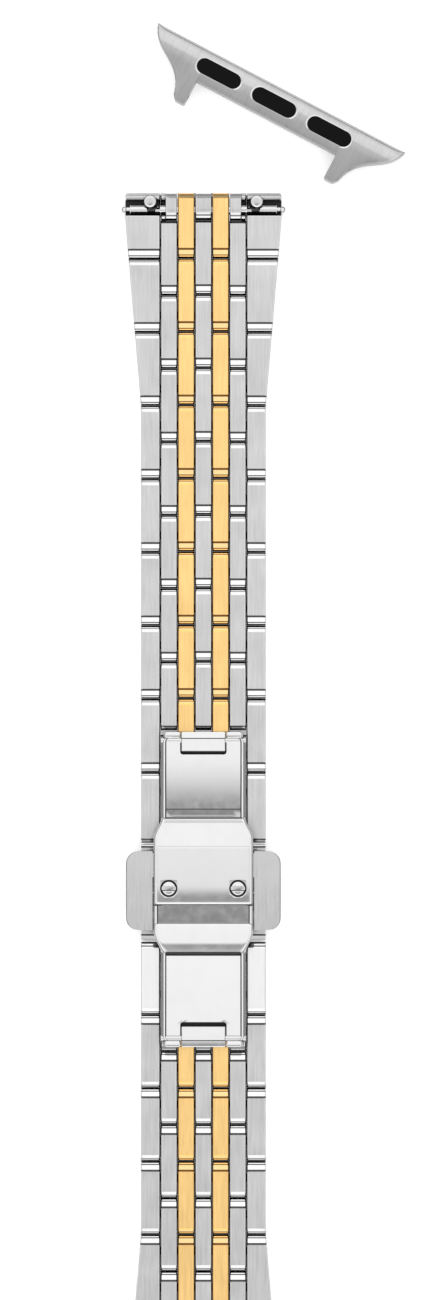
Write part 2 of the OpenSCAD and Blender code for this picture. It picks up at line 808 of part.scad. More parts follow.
// Gold end pieces
module end_gold(side) {
    near = outer_start(rows(side) + 1) + end_gap / 2;
    color("goldenrod") half(side) both() intersection() {
        across(0, column_w * 2) end_outline(side, near, true);
        bevelled_bar(
            (column_w + column_gap) / 2, column_w * 1.5 - column_gap / 2, near, near + end_l, link_t
        );
    }
}

// Tube of a spring bar, slotted for the knobs
module spring_bar_tube(side) {
    slot_l = plunger_travel + 2 * stem_r + 2 * slide_clear;
    slot_out = knob_x + stem_r + slide_clear;
    color("gainsboro") half(side) difference() {
        across(-tube_half, tube_half) translate([bar_y(side), pin_z]) difference() {
            circle(tube_r);
            circle(tube_in_r);
        }
        both() translate([slot_out - slot_l, bar_y(side) - slide_clear, pin_z])
            cube([slot_l, 2 * tube_r, 2 * tube_r]);
    }
}

// Right-hand plunger with its knob
module plunger(side) {
    cone_x = plunger_tip - plunger_cone;
    color("gainsboro") half(side) {
        translate([0, bar_y(side), pin_z]) rotate([0, 90, 0]) {
            translate([0, 0, plunger_in]) cylinder(cone_x - plunger_in, plunger_r, plunger_r);
            translate([0, 0, cone_x]) cylinder(plunger_cone, plunger_r, plunger_r - plunger_cone);
        }
        translate([knob_x, bar_y(side) + stem_r, pin_z])
            cylinder(knob_z0 + knob_t / 2 - pin_z, stem_r, stem_r);
        translate([knob_x, bar_y(side) + knob_lean, knob_z0]) cylinder(knob_t, knob_r, knob_r);
    }
}

// Spring between the two plungers of a spring bar
module spring_bar_spring(side) {
    color("dimgray") half(side) across(-plunger_in, plunger_in)
        translate([bar_y(side), pin_z]) difference() {
            circle(tube_in_r - coil_gap);
            circle(plunger_r / 2);
        }
}

// Plan of an adapter, with y = 0 at the inner edge of its bar
module adapter_plan() {
    steps = 14;
    half_gap = lug_gap / 2;
    half_l = adapter_l / 2;
    tip_x = half_gap + horn_w;
    curve = [for (i = [0:steps]) [
        bezier(half_l, half_l - heel[0], tip_x + flank[0], tip_x, i / steps),
        bezier(adapter_d, heel[1], flank[1], horn_slant - horn_l, i / steps)
    ]];
    right = concat(curve, [[tip_x - horn_slant_w, -horn_l], [half_gap, -horn_l], [half_gap, 0]]);
    polygon(concat(right, [for (i = [len(right) - 1:-1:0]) [-right[i][0], right[i][1]]]));
}

// Outline of a pad or of its pocket
module pad_plan(grow) {
    r = pad_w / 2 + grow;
    flat = pad_l - pad_w;
    translate([-flat / 2, -r]) square([flat, 2 * r]);
    for (s = SIDES) translate([s * flat / 2, 0]) circle(r);
}

// Puts an adapter where it lies: the upper one is loose, the lower one is fitted
module adapter_place(side) {
    if (side > 0)
        translate([loose_x, loose_y, 0])
            rotate([0, 0, loose_turn])
                translate([0, -adapter_d / 2, 0]) children();
    else
        half(side) translate([0, bar_y(side) + bar_edge, 0]) children();
}

// Adapter body with two horns, holes for the spring bar and three pockets
module adapter(side) {
    r = adapter_edge_r;
    hole_r = plunger_r + run_clear;
    color("silver") adapter_place(side) difference() {
        intersection() {
            linear_extrude(link_t) adapter_plan();
            across(-adapter_l, adapter_l) union() {
                translate([-horn_l, 0]) square([horn_l + adapter_d - r, link_t]);
                translate([0, r]) square([adapter_d, link_t - 2 * r]);
                for (z = [r, link_t - r]) translate([adapter_d - r, z]) circle(r);
            }
        }
        for (s = [-1, 0, 1])
            translate([s * pad_pitch, adapter_d / 2, link_t - pad_depth])
                linear_extrude(link_t) pad_plan(pad_clear);
        both() across(lug_gap / 2 - CUT, lug_gap / 2 + horn_hole_d)
            translate([-bar_edge, pin_z]) circle(hole_r);
    }
}

// The two fixed rubber pads of an adapter
module adapter_pads(side) {
    color("black") adapter_place(side) for (s = SIDES)
        translate([s * pad_pitch, adapter_d / 2, link_t - pad_depth])
            linear_extrude(pad_depth - pad_clear) pad_plan(0);
}

// The middle pad, which sinks to release the adapter
module adapter_catch(side) {
    color("black") adapter_place(side)
        translate([0, adapter_d / 2, link_t - pad_depth + catch_travel + pad_clear])
            linear_extrude(pad_depth - catch_travel - 2 * pad_clear) pad_plan(0);
}

clasp_frame();
clasp_bridge();
bridge_screws();
hinge_pins();
pusher();  // pusher_right
mirror([1, 0, 0]) pusher();  // pusher_left
pusher_spring();  // pusher_spring_right
mirror([1, 0, 0]) pusher_spring();  // pusher_spring_left
for (s = SIDES) {
    name = half_name(s);
    leaf(s);
    centre_steel(s);
    centre_gold(s);
    for (n = [1:rows(s)]) {
        outer_link(s, n);
        inner_link(s, n);
    }
    end_steel(s);
    end_gold(s);
    spring_bar_tube(s);
    spring_bar_spring(s);
    plunger(s);
    mirror([1, 0, 0]) plunger(s);
    adapter(s);
    adapter_pads(s);
    adapter_catch(s);
}
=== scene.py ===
import json
from math import cos, pi, radians, sin, tan

import bmesh
import bpy
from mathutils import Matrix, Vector

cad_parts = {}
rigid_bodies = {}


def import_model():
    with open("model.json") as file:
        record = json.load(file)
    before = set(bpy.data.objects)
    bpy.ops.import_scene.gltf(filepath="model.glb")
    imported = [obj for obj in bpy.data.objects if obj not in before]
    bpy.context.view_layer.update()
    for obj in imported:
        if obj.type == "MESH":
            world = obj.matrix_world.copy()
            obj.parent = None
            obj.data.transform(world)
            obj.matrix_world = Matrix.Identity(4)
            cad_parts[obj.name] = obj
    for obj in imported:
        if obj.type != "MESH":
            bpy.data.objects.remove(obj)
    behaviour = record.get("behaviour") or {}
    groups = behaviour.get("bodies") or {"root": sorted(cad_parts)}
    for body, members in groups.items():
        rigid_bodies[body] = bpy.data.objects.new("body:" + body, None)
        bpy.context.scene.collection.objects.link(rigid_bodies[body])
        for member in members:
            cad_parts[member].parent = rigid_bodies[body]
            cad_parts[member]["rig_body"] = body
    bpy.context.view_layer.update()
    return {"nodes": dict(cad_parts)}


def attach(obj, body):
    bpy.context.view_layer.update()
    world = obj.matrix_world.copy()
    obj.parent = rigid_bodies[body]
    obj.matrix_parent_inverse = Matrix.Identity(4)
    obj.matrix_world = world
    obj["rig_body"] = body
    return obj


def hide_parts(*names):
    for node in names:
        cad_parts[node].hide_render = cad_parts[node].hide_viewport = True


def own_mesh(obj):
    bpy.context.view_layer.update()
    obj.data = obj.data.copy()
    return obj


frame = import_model()

# Sizes in millimetres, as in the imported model
MM = 0.001
LINK_T = 2.6
PITCH = 9.29
QUARTER = PITCH / 4
COLUMN = 2.18
COLUMN_GAP = 0.12
# From where the two halves meet to the first outer link
CENTRE_L = 5.91
# The halves meet this much below the middle of the frame
MEET_SHIFT = 0.57
BODY_HALF = 7.9
END_HALF = 9.91
END_L = 8.55
STRAIGHT_L = 3.3
TIP_R = 2.1
TAPER_ROWS = 2
MILLED_T = 2.1
HINGE_HALF = 18.83
HINGE_BACK = 1.1
PIN_R = 0.5
WIRE_R = 0.08
ROWS = {"upper": 8, "lower": 6}
SIGN = {"upper": 1, "lower": -1}
OUTER_IN = 2.5 * COLUMN + COLUMN_GAP / 2
SIDES = (("right", 1), ("left", -1))
BOTH = ("right", "left")
INNER_COLUMNS = (("middle", 0), ("right", 2 * COLUMN), ("left", -2 * COLUMN))
ADAPTER_L, ADAPTER_D = 35.4, 4.33
# Middle of each adapter and its turn in degrees
ADAPTERS = {"upper": (8.95, 99.6, -27.7), "lower": (0.0, -73.08, 180.0)}


# Materials

# Kinds of face: flat is the plain finish, brushed on most pieces and polished in the chrome palette, edge and
# bevel are polished, line and shade are darker copies that paint shade along grooves, creases and rims and on
# shaded faces, and dark paints shadow in gaps and on hidden faces
FINISHES_AND_SHADES = ["flat", "edge", "bevel", "line", "dark", "shade"]
EVEN = (1.0, 1.0, 1.0)
ROUGH_SPREAD = 0.05
RELIEF = 0.00002


def node_of(tree, kind, **values):
    """A new node. A name that starts with in_ is a socket's, by its number or with its spaces as
    underscores, and takes a value or another node's output."""
    node = tree.nodes.new(kind)
    for key, value in values.items():
        if not key.startswith("in_"):
            setattr(node, key, value)
            continue
        socket = node.inputs[int(key[3:]) if key[3:].isdigit() else key[3:].replace("_", " ")]
        if isinstance(value, bpy.types.NodeSocket):
            tree.links.new(value, socket)
        else:
            socket.default_value = value
    return node


def maths(tree, operation, *values):
    sockets = {f"in_{k}": value for k, value in enumerate(values)}
    return node_of(tree, "ShaderNodeMath", operation=operation, **sockets).outputs["Value"]


def mapped(tree, turn, **values):
    """The part's own coordinates through a mapping that is turned about z."""
    return node_of(
        tree, "ShaderNodeMapping", vector_type="TEXTURE", in_Rotation=(0, 0, radians(turn)),
        in_Vector=node_of(tree, "ShaderNodeTexCoord").outputs["Object"], **values,
    ).outputs["Vector"]


def grain(tree, stretch, scale, detail=3.0, turn=0.0):
    """Noise in the part's own frame, turned about z and drawn out by stretch, as cycles per metre."""
    place = mapped(tree, turn, in_Scale=[1 / value for value in stretch])
    return node_of(
        tree, "ShaderNodeTexNoise", in_Vector=place, in_Scale=scale, in_Detail=detail, in_Roughness=0.6
    ).outputs["Fac"]


def shade_range(tree, value, low, high):
    """Noise, which keeps to 0.3 to 0.7, spread over low to high."""
    return node_of(
        tree, "ShaderNodeMapRange", in_Value=value, in_From_Min=0.3, in_From_Max=0.7, in_To_Min=low,
        in_To_Max=high,
    ).outputs["Result"]


def ramp(tree, levels, value, interpolation):
    """A level that changes with value, from a table of (value, level)."""
    node = node_of(tree, "ShaderNodeValToRGB", in_Fac=value)
    node.color_ramp.interpolation = interpolation
    elements = node.color_ramp.elements
    while len(elements) > 1:
        elements.remove(elements[-1])
    for k, (place, level) in enumerate(levels):
        element = elements[0] if k == 0 else elements.new(place)
        element.position = place
        element.color = (level, level, level, 1)
    return node.outputs["Color"]


def new_material(name, **values):
    """A material with its tree and its shader, whose sockets get the values."""
    material = bpy.data.materials.new(name)
    material.use_nodes = True
    shader = material.node_tree.nodes["Principled BSDF"]
    for key, value in values.items():
        shader.inputs[key.replace("_", " ")].default_value = value
    return material, material.node_tree, shader


def surface(tree, shader, colour, level, fine, rough, bump):
    """Gives a shader a colour times level, and a roughness and a relief that follow fine."""
    tint = node_of(tree, "ShaderNodeVectorMath", operation="SCALE", in_0=colour, in_Scale=level)
    tree.links.new(tint.outputs["Vector"], shader.inputs["Base Color"])
    tree.links.new(shade_range(tree, fine, *rough), shader.inputs["Roughness"])
    if bump:
        relief = node_of(tree, "ShaderNodeBump", in_Strength=bump, in_Distance=RELIEF, in_Height=fine)
        tree.links.new(relief.outputs["Normal"], shader.inputs["Normal"])


def metal(name, colour, rough, brush=None, contrast=0.02, cloud=0.03, bump=0.0, turn=0.0, across=None):
    """A metal with a brushed grain along brush, or a faint unevenness. A colour of one number is grey.
    across is (x, y, turn, depth, levels) for painted light and shade that change over a bar's depth."""
    material, tree, shader = new_material(name, Metallic=1.0)
    fine = grain(tree, brush or EVEN, 1.0 if brush else 900.0, turn=turn)
    soft = grain(tree, EVEN, 260.0, 1.0)
    level = maths(
        tree, "MULTIPLY", shade_range(tree, fine, 1 - contrast, 1 + contrast),
        shade_range(tree, soft, 1 - cloud, 1 + cloud),
    )
    if across:
        x, y, bar_turn, depth, levels = across
        place = mapped(tree, bar_turn, in_Location=(x * MM, y * MM, 0), in_Scale=(depth * MM,) * 3)
        split = node_of(tree, "ShaderNodeSeparateXYZ", in_Vector=place)
        over = maths(tree, "ADD", split.outputs["Y"], 0.5)
        level = maths(tree, "MULTIPLY", level, ramp(tree, levels, over, "EASE"))
    colour = (colour,) * 3 if isinstance(colour, float) else colour
    surface(tree, shader, colour, level, fine, (rough - ROUGH_SPREAD, rough + ROUGH_SPREAD), bump)
    return material


def rubber():
    material, tree, shader = new_material("rubber_black", Specular_IOR_Level=0.08)
    fine = grain(tree, EVEN, 9000.0)
    surface(tree, shader, (0.003,) * 3, shade_range(tree, fine, 0.7, 1.3), fine, (0.5, 0.7), 0.3)
    return material


def plain(slot, material):
    """A palette of one material."""
    return {"slot": slot, **dict.fromkeys(FINISHES_AND_SHADES, material)}


# Each palette names its slot and the material of each kind of face; its line, shade and dark materials are
# darker copies that paint shade and shadow
ALONG = (5200.0, 260.0, 5200.0)
DARK = metal("steel_painted_shadow", 0.035, 0.5)
STEEL = {
    "slot": "brushed_steel",
    "flat": metal("steel_brushed", 0.50, 0.33, ALONG, contrast=0.09, cloud=0.05, bump=0.3),
    "edge": metal("steel_edge", 0.60, 0.18),
    "bevel": metal("steel_bevel", 0.60, 0.12),
    "line": metal("steel_line", 0.07, 0.45),
    "dark": DARK,
    "shade": metal("steel_soft_line", 0.22, 0.4),
}
GOLD = {
    "slot": "brushed_gold",
    "flat": metal("gold_brushed", (0.82, 0.545, 0.22), 0.32, ALONG, contrast=0.09, cloud=0.04, bump=0.3),
    "edge": metal("gold_edge", (0.78, 0.46, 0.15), 0.18),
    "bevel": metal("gold_bevel", (0.62, 0.46, 0.22), 0.12),
    "line": metal("gold_line", (0.16, 0.07, 0.02), 0.45),
    "dark": DARK,
    "shade": metal("gold_soft_line", (0.36, 0.18, 0.05), 0.4),
}
BAR = metal("steel_bar", 0.60, 0.12)
CHROME = {
    "slot": "polished_steel",
    "flat": metal("steel_polished", 0.66, 0.10, contrast=0.015, cloud=0.01),
    "edge": BAR,
    "bevel": BAR,
    "line": STEEL["line"],
    "dark": DARK,
    "shade": metal("steel_shade", 0.48, 0.14, contrast=0.01, cloud=0.0),
}
# Brightness over the adapter's depth, painted as a highlight band between shaded sides
HOLDER_PAINTED_LIGHT = [(0.0, 0.60), (0.30, 0.62), (0.52, 0.74), (0.64, 1.0), (0.78, 1.0), (0.88, 0.82), (1.0, 0.80)]
HOLDER = {
    half: {**STEEL, "flat": metal(
        f"steel_adapter_{half}", 0.50, 0.30, (5200.0, 300.0, 300.0), contrast=0.08, bump=0.25, turn=place[2],
        across=(*place, ADAPTER_D, HOLDER_PAINTED_LIGHT),
    )}
    for half, place in ADAPTERS.items()
}
# A lighter copy of the brushed steel that paints light on the lower half's first outer pieces
LIT = {**STEEL, "flat": metal("steel_brushed_lit", 0.74, 0.33, ALONG, contrast=0.03, cloud=0.01, bump=0.2)}
PUSH = {
    **STEEL,
    "flat": metal("steel_pusher", 0.50, 0.30, ALONG, contrast=0.05, bump=0.2),
    "line": metal("pusher_line", 0.22, 0.4),
}
# Pins are painted dark all over as the shadow they lie in
PINS = plain("polished_steel", DARK)
WIRE = plain("spring_steel", metal("steel_wire", (0.35, 0.35, 0.36), 0.3, contrast=0.06))
RUBBER = plain("black_rubber", rubber())


# Meshes

SHARP = 28
# Steps round each corner of a ring
CORNER = 4
# Sides of a loft's ring that lie on its right, on its left and round its corners
RIGHT_SIDES, LEFT_SIDES = {19, 20, 21, 22, 23, 0}, {8, 9, 10, 11, 12, 13}
CORNER_SIDES = {*range(4), *range(5, 9), *range(12, 16), *range(17, 21)}
# A loft's side that lies against another column stands out this much
RIB = 0.07


def modify(piece, kind, **values):
    step = piece.modifiers.new(kind, kind)
    for key, value in values.items():
        setattr(step, key, value)


def smooth(piece, sharp=SHARP):
    """Smooth shading up to an angle, with large faces kept flat beside small ones."""
    piece.data.shade_smooth()
    piece.data.set_sharp_from_angle(angle=radians(sharp))
    modify(piece, "WEIGHTED_NORMAL", keep_sharp=True, weight=100)


def new_object(name, points, faces, materials, kinds):
    """A closed mesh in millimetres, with the kind of each face, a finish or painted shade."""
    mesh = bpy.data.meshes.new(name)
    mesh.from_pydata([(x * MM, y * MM, z * MM) for x, y, z in points], [], faces)
    for material in materials:
        mesh.materials.append(material)
    mesh.polygons.foreach_set("material_index", [FINISHES_AND_SHADES.index(kind) for kind in kinds])
    work = bmesh.new()
    work.from_mesh(mesh)
    bmesh.ops.recalc_face_normals(work, faces=work.faces)
    work.to_mesh(mesh)
    work.free()
    piece = bpy.data.objects.new(name, mesh)
    bpy.context.scene.collection.objects.link(piece)
    return piece


def add_piece(name, points, faces, palette, kinds, node, sharp=SHARP):
    """An object that stands for node and rides on its body."""
    piece = new_object(name, points, faces, [palette[f] for f in FINISHES_AND_SHADES], kinds)
    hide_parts(node)
    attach(piece, frame["nodes"][node]["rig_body"])
    smooth(piece, sharp)
    return piece


def faces_over(rows, n, closed=False):
    """Faces over rows of n points each, with two caps unless the last row joins the first."""
    faces = []
    for i in range(rows if closed else rows - 1):
        a, b = i * n, (i + 1) % rows * n
        faces += [(a + k, a + (k + 1) % n, b + (k + 1) % n, b + k) for k in range(n)]
    return faces if closed else faces + [tuple(range(n)), tuple(range((rows - 1) * n, rows * n))]


def arc(steps, start=0.0, turn=pi / 2):
    """Cosine and sine of the angles from start over turn."""
    angles = [start + turn * k / steps for k in range(steps + 1)]
    return [(cos(angle), sin(angle)) for angle in angles]


def circle(cx, cy, r, steps=40):
    return [(cx + r * c, cy + r * s) for c, s in arc(steps, turn=2 * pi)[:-1]]


def ring(x0, x1, z0, z1, r):
    """A rounded rectangle in x and z: four corners, from the upper right one."""
    r = max(0.001, min(r, 0.49 * (x1 - x0), 0.49 * (z1 - z0)))
    points = []
    for turn, (x, z) in enumerate([(x1 - r, z1 - r), (x0 + r, z1 - r), (x0 + r, z0 + r), (x1 - r, z0 + r)]):
        points += [(x + r * c, z + r * s) for c, s in arc(CORNER, turn * pi / 2)]
    return points


def skin(name, rings, finish, palette, node, caps=("dark", "dark"), sharp=SHARP):
    """A closed skin over rings of points. The function given names the finish, or the painted shade, from
    ring i to the next. Caps are painted dark as shadow unless caps says otherwise.
    """
    n = len(rings[0])
    kinds = [finish(i, j) for i in range(len(rings) - 1) for j in range(n)]
    points = [point for one in rings for point in one]
    return add_piece(name, points, faces_over(len(rings), n), palette, [*kinds, *caps], node, sharp)


def loft(name, stations, palette, node, half, dark=(), caps=("dark", "dark")):
    """A bar along y. Each station is (y, x0, x1, z0, z1, corner radius, finish or painted shade up to the
    next).
    dark names the sides, right or left, that lie against another column, and these are painted dark as
    shadow."""
    left, right = (RIB if side in dark else 0.0 for side in ("left", "right"))
    rings = []
    for y, x0, x1, z0, z1, r, _ in stations:
        one = ring(x0, x1, z0, z1, r)
        middle, rise = (z0 + z1) / 2, min(0.25, 0.3 * (z1 - z0))
        one = one[:10] + [(x0 - left, middle + rise), (x0 - left, middle - rise)] + one[10:]
        one += [(x1 + right, middle - rise), (x1 + right, middle + rise)]
        rings.append([(x, SIGN[half] * y - MEET_SHIFT, z) for x, z in one])
    hidden = (RIGHT_SIDES if right else set()) | (LEFT_SIDES if left else set())

    def finish(i, j):
        kind = stations[i][6]
        if j in hidden:
            return "dark"
        return "edge" if kind == "flat" and j in CORNER_SIDES else kind

    return skin(name, rings, finish, palette, node, caps)


def sections(name, stations, node, caps=("flat", "flat")):
    """A polished skin over symmetric sections. Each station is (y, section), and a section is the right
    half from bottom to top, as (x, z, finish or painted shade up to the next)."""
    rings, kinds = [], []
    for y, section in stations:
        right = [(x, y, z) for x, z, _ in section]
        rings.append(right + [(-x, y, z) for x, y, z in reversed(right[1:-1])])
        one = [kind for _, _, kind in section][:-1]
        kinds.append(one + one[::-1])
    return skin(name, rings, lambda i, j: kinds[i][j], CHROME, node, caps)


def inset(outline, d):
    """A convex outline, counterclockwise, moved inwards by d."""
    moved = []
    for k, (x, y) in enumerate(outline):
        (ax, ay), (bx, by) = outline[k - 1], outline[(k + 1) % len(outline)]
        before = Vector((y - ay, ax - x)).normalized()
        after = Vector((by - y, x - bx)).normalized()
        out = before + after
        out /= max(0.3, out.dot(before))
        moved.append((x - out.x * d, y - out.y * d))
    return moved


def pillow(name, outline, z0, z1, r, palette, node, place, low=0.05):
    """A solid over an outline, with its upper edge rounded by r and its lower by low, moved by place. Its
    bottom is painted dark as shadow.
    """
    levels = [(low, z0, "flat"), (0.0, z0 + low, "flat")]
    levels += [(r * (1 - c), z1 - r + r * s, "edge") for c, s in arc(6)]
    rings = [[place(x, y, z) for x, y in inset(outline, d)] for d, z, _ in levels]
    return skin(name, rings, lambda i, j: levels[i][2], palette, node, ("dark", "flat"), 40)


def slab(name, xs, ys, zs, palette, node, kind="flat"):
    """A plain block with eased edges, between the two numbers of xs, of ys and of zs."""
    r = 0.06
    (x0, x1), (y0, y1), (z0, z1) = sorted(xs), sorted(ys), zs
    rings = [
        [(x, y, z) for x, z in ring(x0 + d, x1 - d, z0 + d, z1 - d, r)]
        for y, d in ((y0, r * 0.7), (y0 + r * 0.3, r * 0.2), (y0 + r, 0), (y1 - r, 0),
                     (y1 - r * 0.3, r * 0.2), (y1, r * 0.7))
    ]
    return skin(name, rings, lambda i, j: kind, palette, node, (kind, kind))


def lathe(name, profile, place, node, palette=CHROME, steps=36, closed=False, axis="z"):
    """A profile of (radius, height, finish or painted shade up to the next) turned round an upright or cross
    axis.
    """
    cx, cy, cz = place
    points = []
    for r, h, _ in profile:
        for a, b in circle(0, 0, r, steps):
            points.append((cx + a, cy + b, cz + h) if axis == "z" else (cx + h, cy + a, cz + b))
    n = len(profile)
    kinds = [kind for _, _, kind in (profile if closed else profile[:-1]) for _ in range(steps)]
    kinds += [] if closed else [profile[0][2], profile[-1][2]]
    return add_piece(name, points, faces_over(n, steps, closed), palette, kinds, node)


def pin(name, node, half, y, reach):
    """A pin across the bracelet with flat, slightly eased ends."""
    ends = [(0.001, reach), (PIN_R - 0.12, reach), (PIN_R - 0.06, reach - 0.03), (PIN_R, reach - 0.03)]
    profile = [(r, -x, "dark") for r, x in ends] + [(r, x, "dark") for r, x in reversed(ends)]
    lathe(name, profile, (0, SIGN[half] * y - MEET_SHIFT, LINK_T / 2), node, PINS, 20, axis="x")


def coil(name, node, x0, x1, y, z, turns, radius):
    """A coil spring along x from its fixed end x0."""
    steps, sides = 14, 6
    count = turns * steps
    points = []
    for i, (c, s) in enumerate(arc(count, turn=2 * pi * turns)):
        x = x0 + (x1 - x0) * i / count
        for a, b in circle(0, 0, WIRE_R, sides):
            points.append((x + b, y + (radius + a) * c, z + (radius + a) * s))
    faces = faces_over(count + 1, sides)
    piece = add_piece(name, points, faces, WIRE, ["flat"] * len(faces), node)
    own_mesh(piece)


def cutter(piece, points, faces, kind="dark"):
    """A closed mesh for carve, with the piece's materials; the faces it cuts get kind, by default painted
    dark as shadow.
    """
    return new_object("cutter", points, faces, piece.data.materials[:], [kind] * len(faces))


def prism(piece, outline, z0, z1, kind="dark", place=lambda x, y, z: (x, y, z)):
    """A cutter over an outline, from z0 to z1."""
    points = [place(x, y, z) for z in (z0, z1) for x, y in outline]
    return cutter(piece, points, faces_over(2, len(outline)), kind)


def carve(piece, cutters, bevel=0.0, limit=62, segments=3):
    """Cuts other pieces out of a piece, deletes them and rounds the edges sharper than limit."""
    piece.modifiers.clear()
    for one in cutters:
        modify(piece, "BOOLEAN", operation="DIFFERENCE", solver="EXACT", object=one)
    if bevel:
        modify(piece, "BEVEL", width=bevel * MM, segments=segments, limit_method="ANGLE",
               angle_limit=radians(limit))
    bpy.context.view_layer.update()
    depsgraph = bpy.context.evaluated_depsgraph_get()
    mesh = bpy.data.meshes.new_from_object(piece.evaluated_get(depsgraph))
    piece.modifiers.clear()
    old = piece.data
    piece.data = mesh
    bpy.data.meshes.remove(old)
    for one in cutters:
        bpy.data.objects.remove(one)
    smooth(piece)


# Links

# Ends of the links: distance from the middle of the gap, height and finish up to the next point; line and
# shade paint the shade of grooves and rims, and dark paints the shadow in the gap
NEAR = [
    (0.05, 1.33, "dark"), (0.18, 1.60, "dark"), (0.19, 2.00, "edge"), (0.22, 2.14, "edge"),
    (0.35, 2.20, "line"), (0.48, 2.23, "bevel"), (1.04, 2.46, "line"), (1.26, 2.55, "flat"),
    (1.30, 2.60, "flat"),
]
FAR = [
    (-0.025, 1.33, "dark"), (0.18, 1.60, "dark"), (0.19, 2.30, "edge"), (0.21, 2.38, "edge"),
    (0.31, 2.42, "shade"), (0.43, 2.46, "bevel"), (0.62, 2.53, "edge"), (0.80, 2.585, "flat"),
    (0.85, 2.60, "flat"),
]
# Beside the pushers, where the outer pieces have a plain end
NEAR_FIRST = [
    (0.05, 1.33, "dark"), (0.17, 1.60, "dark"), (0.18, 2.25, "edge"), (0.24, 2.38, "bevel"),
    (0.44, 2.46, "line"), (0.58, 2.53, "edge"), (0.72, 2.59, "flat"), (0.76, 2.60, "flat"),
]
# At the last gap of the inner pieces, on either side of it
FAR_LAST = [
    (-0.025, 1.33, "dark"), (0.18, 1.60, "dark"), (0.19, 2.30, "line"), (0.28, 2.46, "shade"),
    (0.36, 2.55, "flat"), (0.48, 2.60, "flat"),
]
NEAR_SHORT = [
    (0.05, 1.33, "dark"), (0.18, 1.60, "dark"), (0.24, 2.05, "edge"), (0.28, 2.20, "edge"),
    (0.52, 2.29, "shade"), (0.72, 2.38, "edge"), (0.92, 2.49, "flat"), (1.15, 2.57, "flat"),
    (1.45, 2.60, "flat"),
]
# Beside the hinge, where the inner pieces have a plain end
NEAR_PLAIN = [
    (0.05, 1.33, "dark"), (0.20, 1.60, "dark"), (0.21, 2.35, "edge"), (0.26, 2.40, "bevel"),
    (0.50, 2.49, "line"), (0.62, 2.55, "flat"), (0.66, 2.60, "flat"),
]
# Where the halves meet, under the clasp
NEAR_CENTRE = [(0.10, 1.60, "dark"), (0.12, 2.00, "edge"), (0.20, 2.09, "flat")]
# The bracelet's tip
TIP = [
    (0.005, 1.50, "dark"), (0.03, 1.70, "edge"), (0.10, 1.98, "edge"), (0.23, 2.22, "line"),
    (0.33, 2.28, "bevel"), (0.64, 2.50, "edge"), (0.74, 2.60, "flat"),
]
# The block's far end is square, so its distances start past the rounding in plan
BLOCK_END = [(0.50, 2.50, "edge"), (0.53, 2.57, "edge"), (0.60, 2.60, "flat")]
PLAN_START, PLAN_ROUND, PLAN_INSET = 0.125, 0.30, 0.20
LONG_EDGE = 0.13
SLIT = 0.04
# The end faces, painted dark as shadow, lie within this distance of the gap
NOSE = 0.185
# Stands for a distance from the gap well past any end
AWAY = 9.0
# The last gap between inner pieces lies this much further out
LAST_SHIFT = 0.16
# The first gap beside the pushers lies this much further out
FIRST_SHIFT = {"upper": 0.43, "lower": 0.24}
# Thickness of the tabs under the pushers, and by half their end and the length of its bright face
TAB_T = 1.20
TAB_END = {"upper": (CENTRE_L + 0.25, 0.21), "lower": (CENTRE_L + 0.07, 0.56)}
PIN_BACK = 0.005


def plan_inset(s):
    """How far a side moves in near the end of a link, where s is the distance from the gap."""
    t = min(1.0, max(0.0, (s - PLAN_START) / PLAN_ROUND))
    return PLAN_INSET * (1 - (1 - (1 - t) ** 2) ** 0.5)


def outer_start(n):
    return CENTRE_L + (n - 1) * PITCH


def inner_start(n):
    return outer_start(n) + PITCH / 2


def tip_y(half):
    return outer_start(ROWS[half] + 1) + END_L


def side_x(half, y):
    """Distance from the middle to the side of the bracelet."""
    start = outer_start(ROWS[half] - TAPER_ROWS + 1)
    slope = (END_HALF - BODY_HALF) / (tip_y(half) - STRAIGHT_L - start)
    return min(END_HALF, BODY_HALF + max(0.0, y - start) * slope)


def milled_y(half):
    return HINGE_HALF + SIGN[half] * MEET_SHIFT + HINGE_BACK


def gap_shift(half, x):
    """How far the gaps lie beyond the even pitch."""
    return 0.27 - 0.02 * abs(x) if half == "upper" else 0.15


def link_stations(half, y0, y1, near, far, x_range, milled_to=None, fixed=()):
    """Stations of a link between the middles of its two gaps. fixed names the ends that stay at y0 or y1."""
    shift = gap_shift(half, sum(x_range(y0)) / 2)
    y0 += 0 if "start" in fixed else shift
    y1 += 0 if "end" in fixed else shift
    rows = [(y0 + s, s, h, kind) for s, h, kind in near]
    ends = [(y1 - s, s, h) for s, h, _ in reversed(far)]
    kinds = [kind for _, _, kind in reversed(far)][1:] + ["bevel"]
    middle = rows.pop()[0]
    steps = 3
    span = ends[0][0] - middle
    rows += [(middle + span * i / steps, AWAY, LINK_T, "flat") for i in range(steps)]
    rows += [(*end, kind) for end, kind in zip(ends, kinds)]
    if milled_to is None:
        rows = [(y, s, h, h, kind) for y, s, h, kind in rows]
    else:
        below = [(y, s, min(h, MILLED_T), h, kind) for y, s, h, kind in rows if y < milled_to]
        above = [(y, s, h, h, kind) for y, s, h, kind in rows if y >= milled_to]
        if above:
            below += [(y, AWAY, MILLED_T, LINK_T, "bevel") for y in (milled_to - 0.02, milled_to)]
            above = [
                (milled_to + 0.01, AWAY, LINK_T - 0.06, LINK_T, "edge"),
                (milled_to + 0.06, AWAY, LINK_T, LINK_T, "flat"),
            ] + [row for row in above if row[0] > milled_to + 0.1]
        rows = below + above
    stations = []
    for y, s, top, bottom, kind in rows:
        x0, x1 = x_range(y)
        pull = plan_inset(s) if s > NOSE else 0.0
        stations.append((y, x0 + pull, x1 - pull, LINK_T - bottom, top, LONG_EDGE, kind))
    return stations


def link(name, half, y0, y1, ends, x_range, palette, node, dark=BOTH, **options):
    """One column of a link. ends has its near and its far end."""
    return loft(name, link_stations(half, y0, y1, *ends, x_range, **options), palette, node, half, dark)


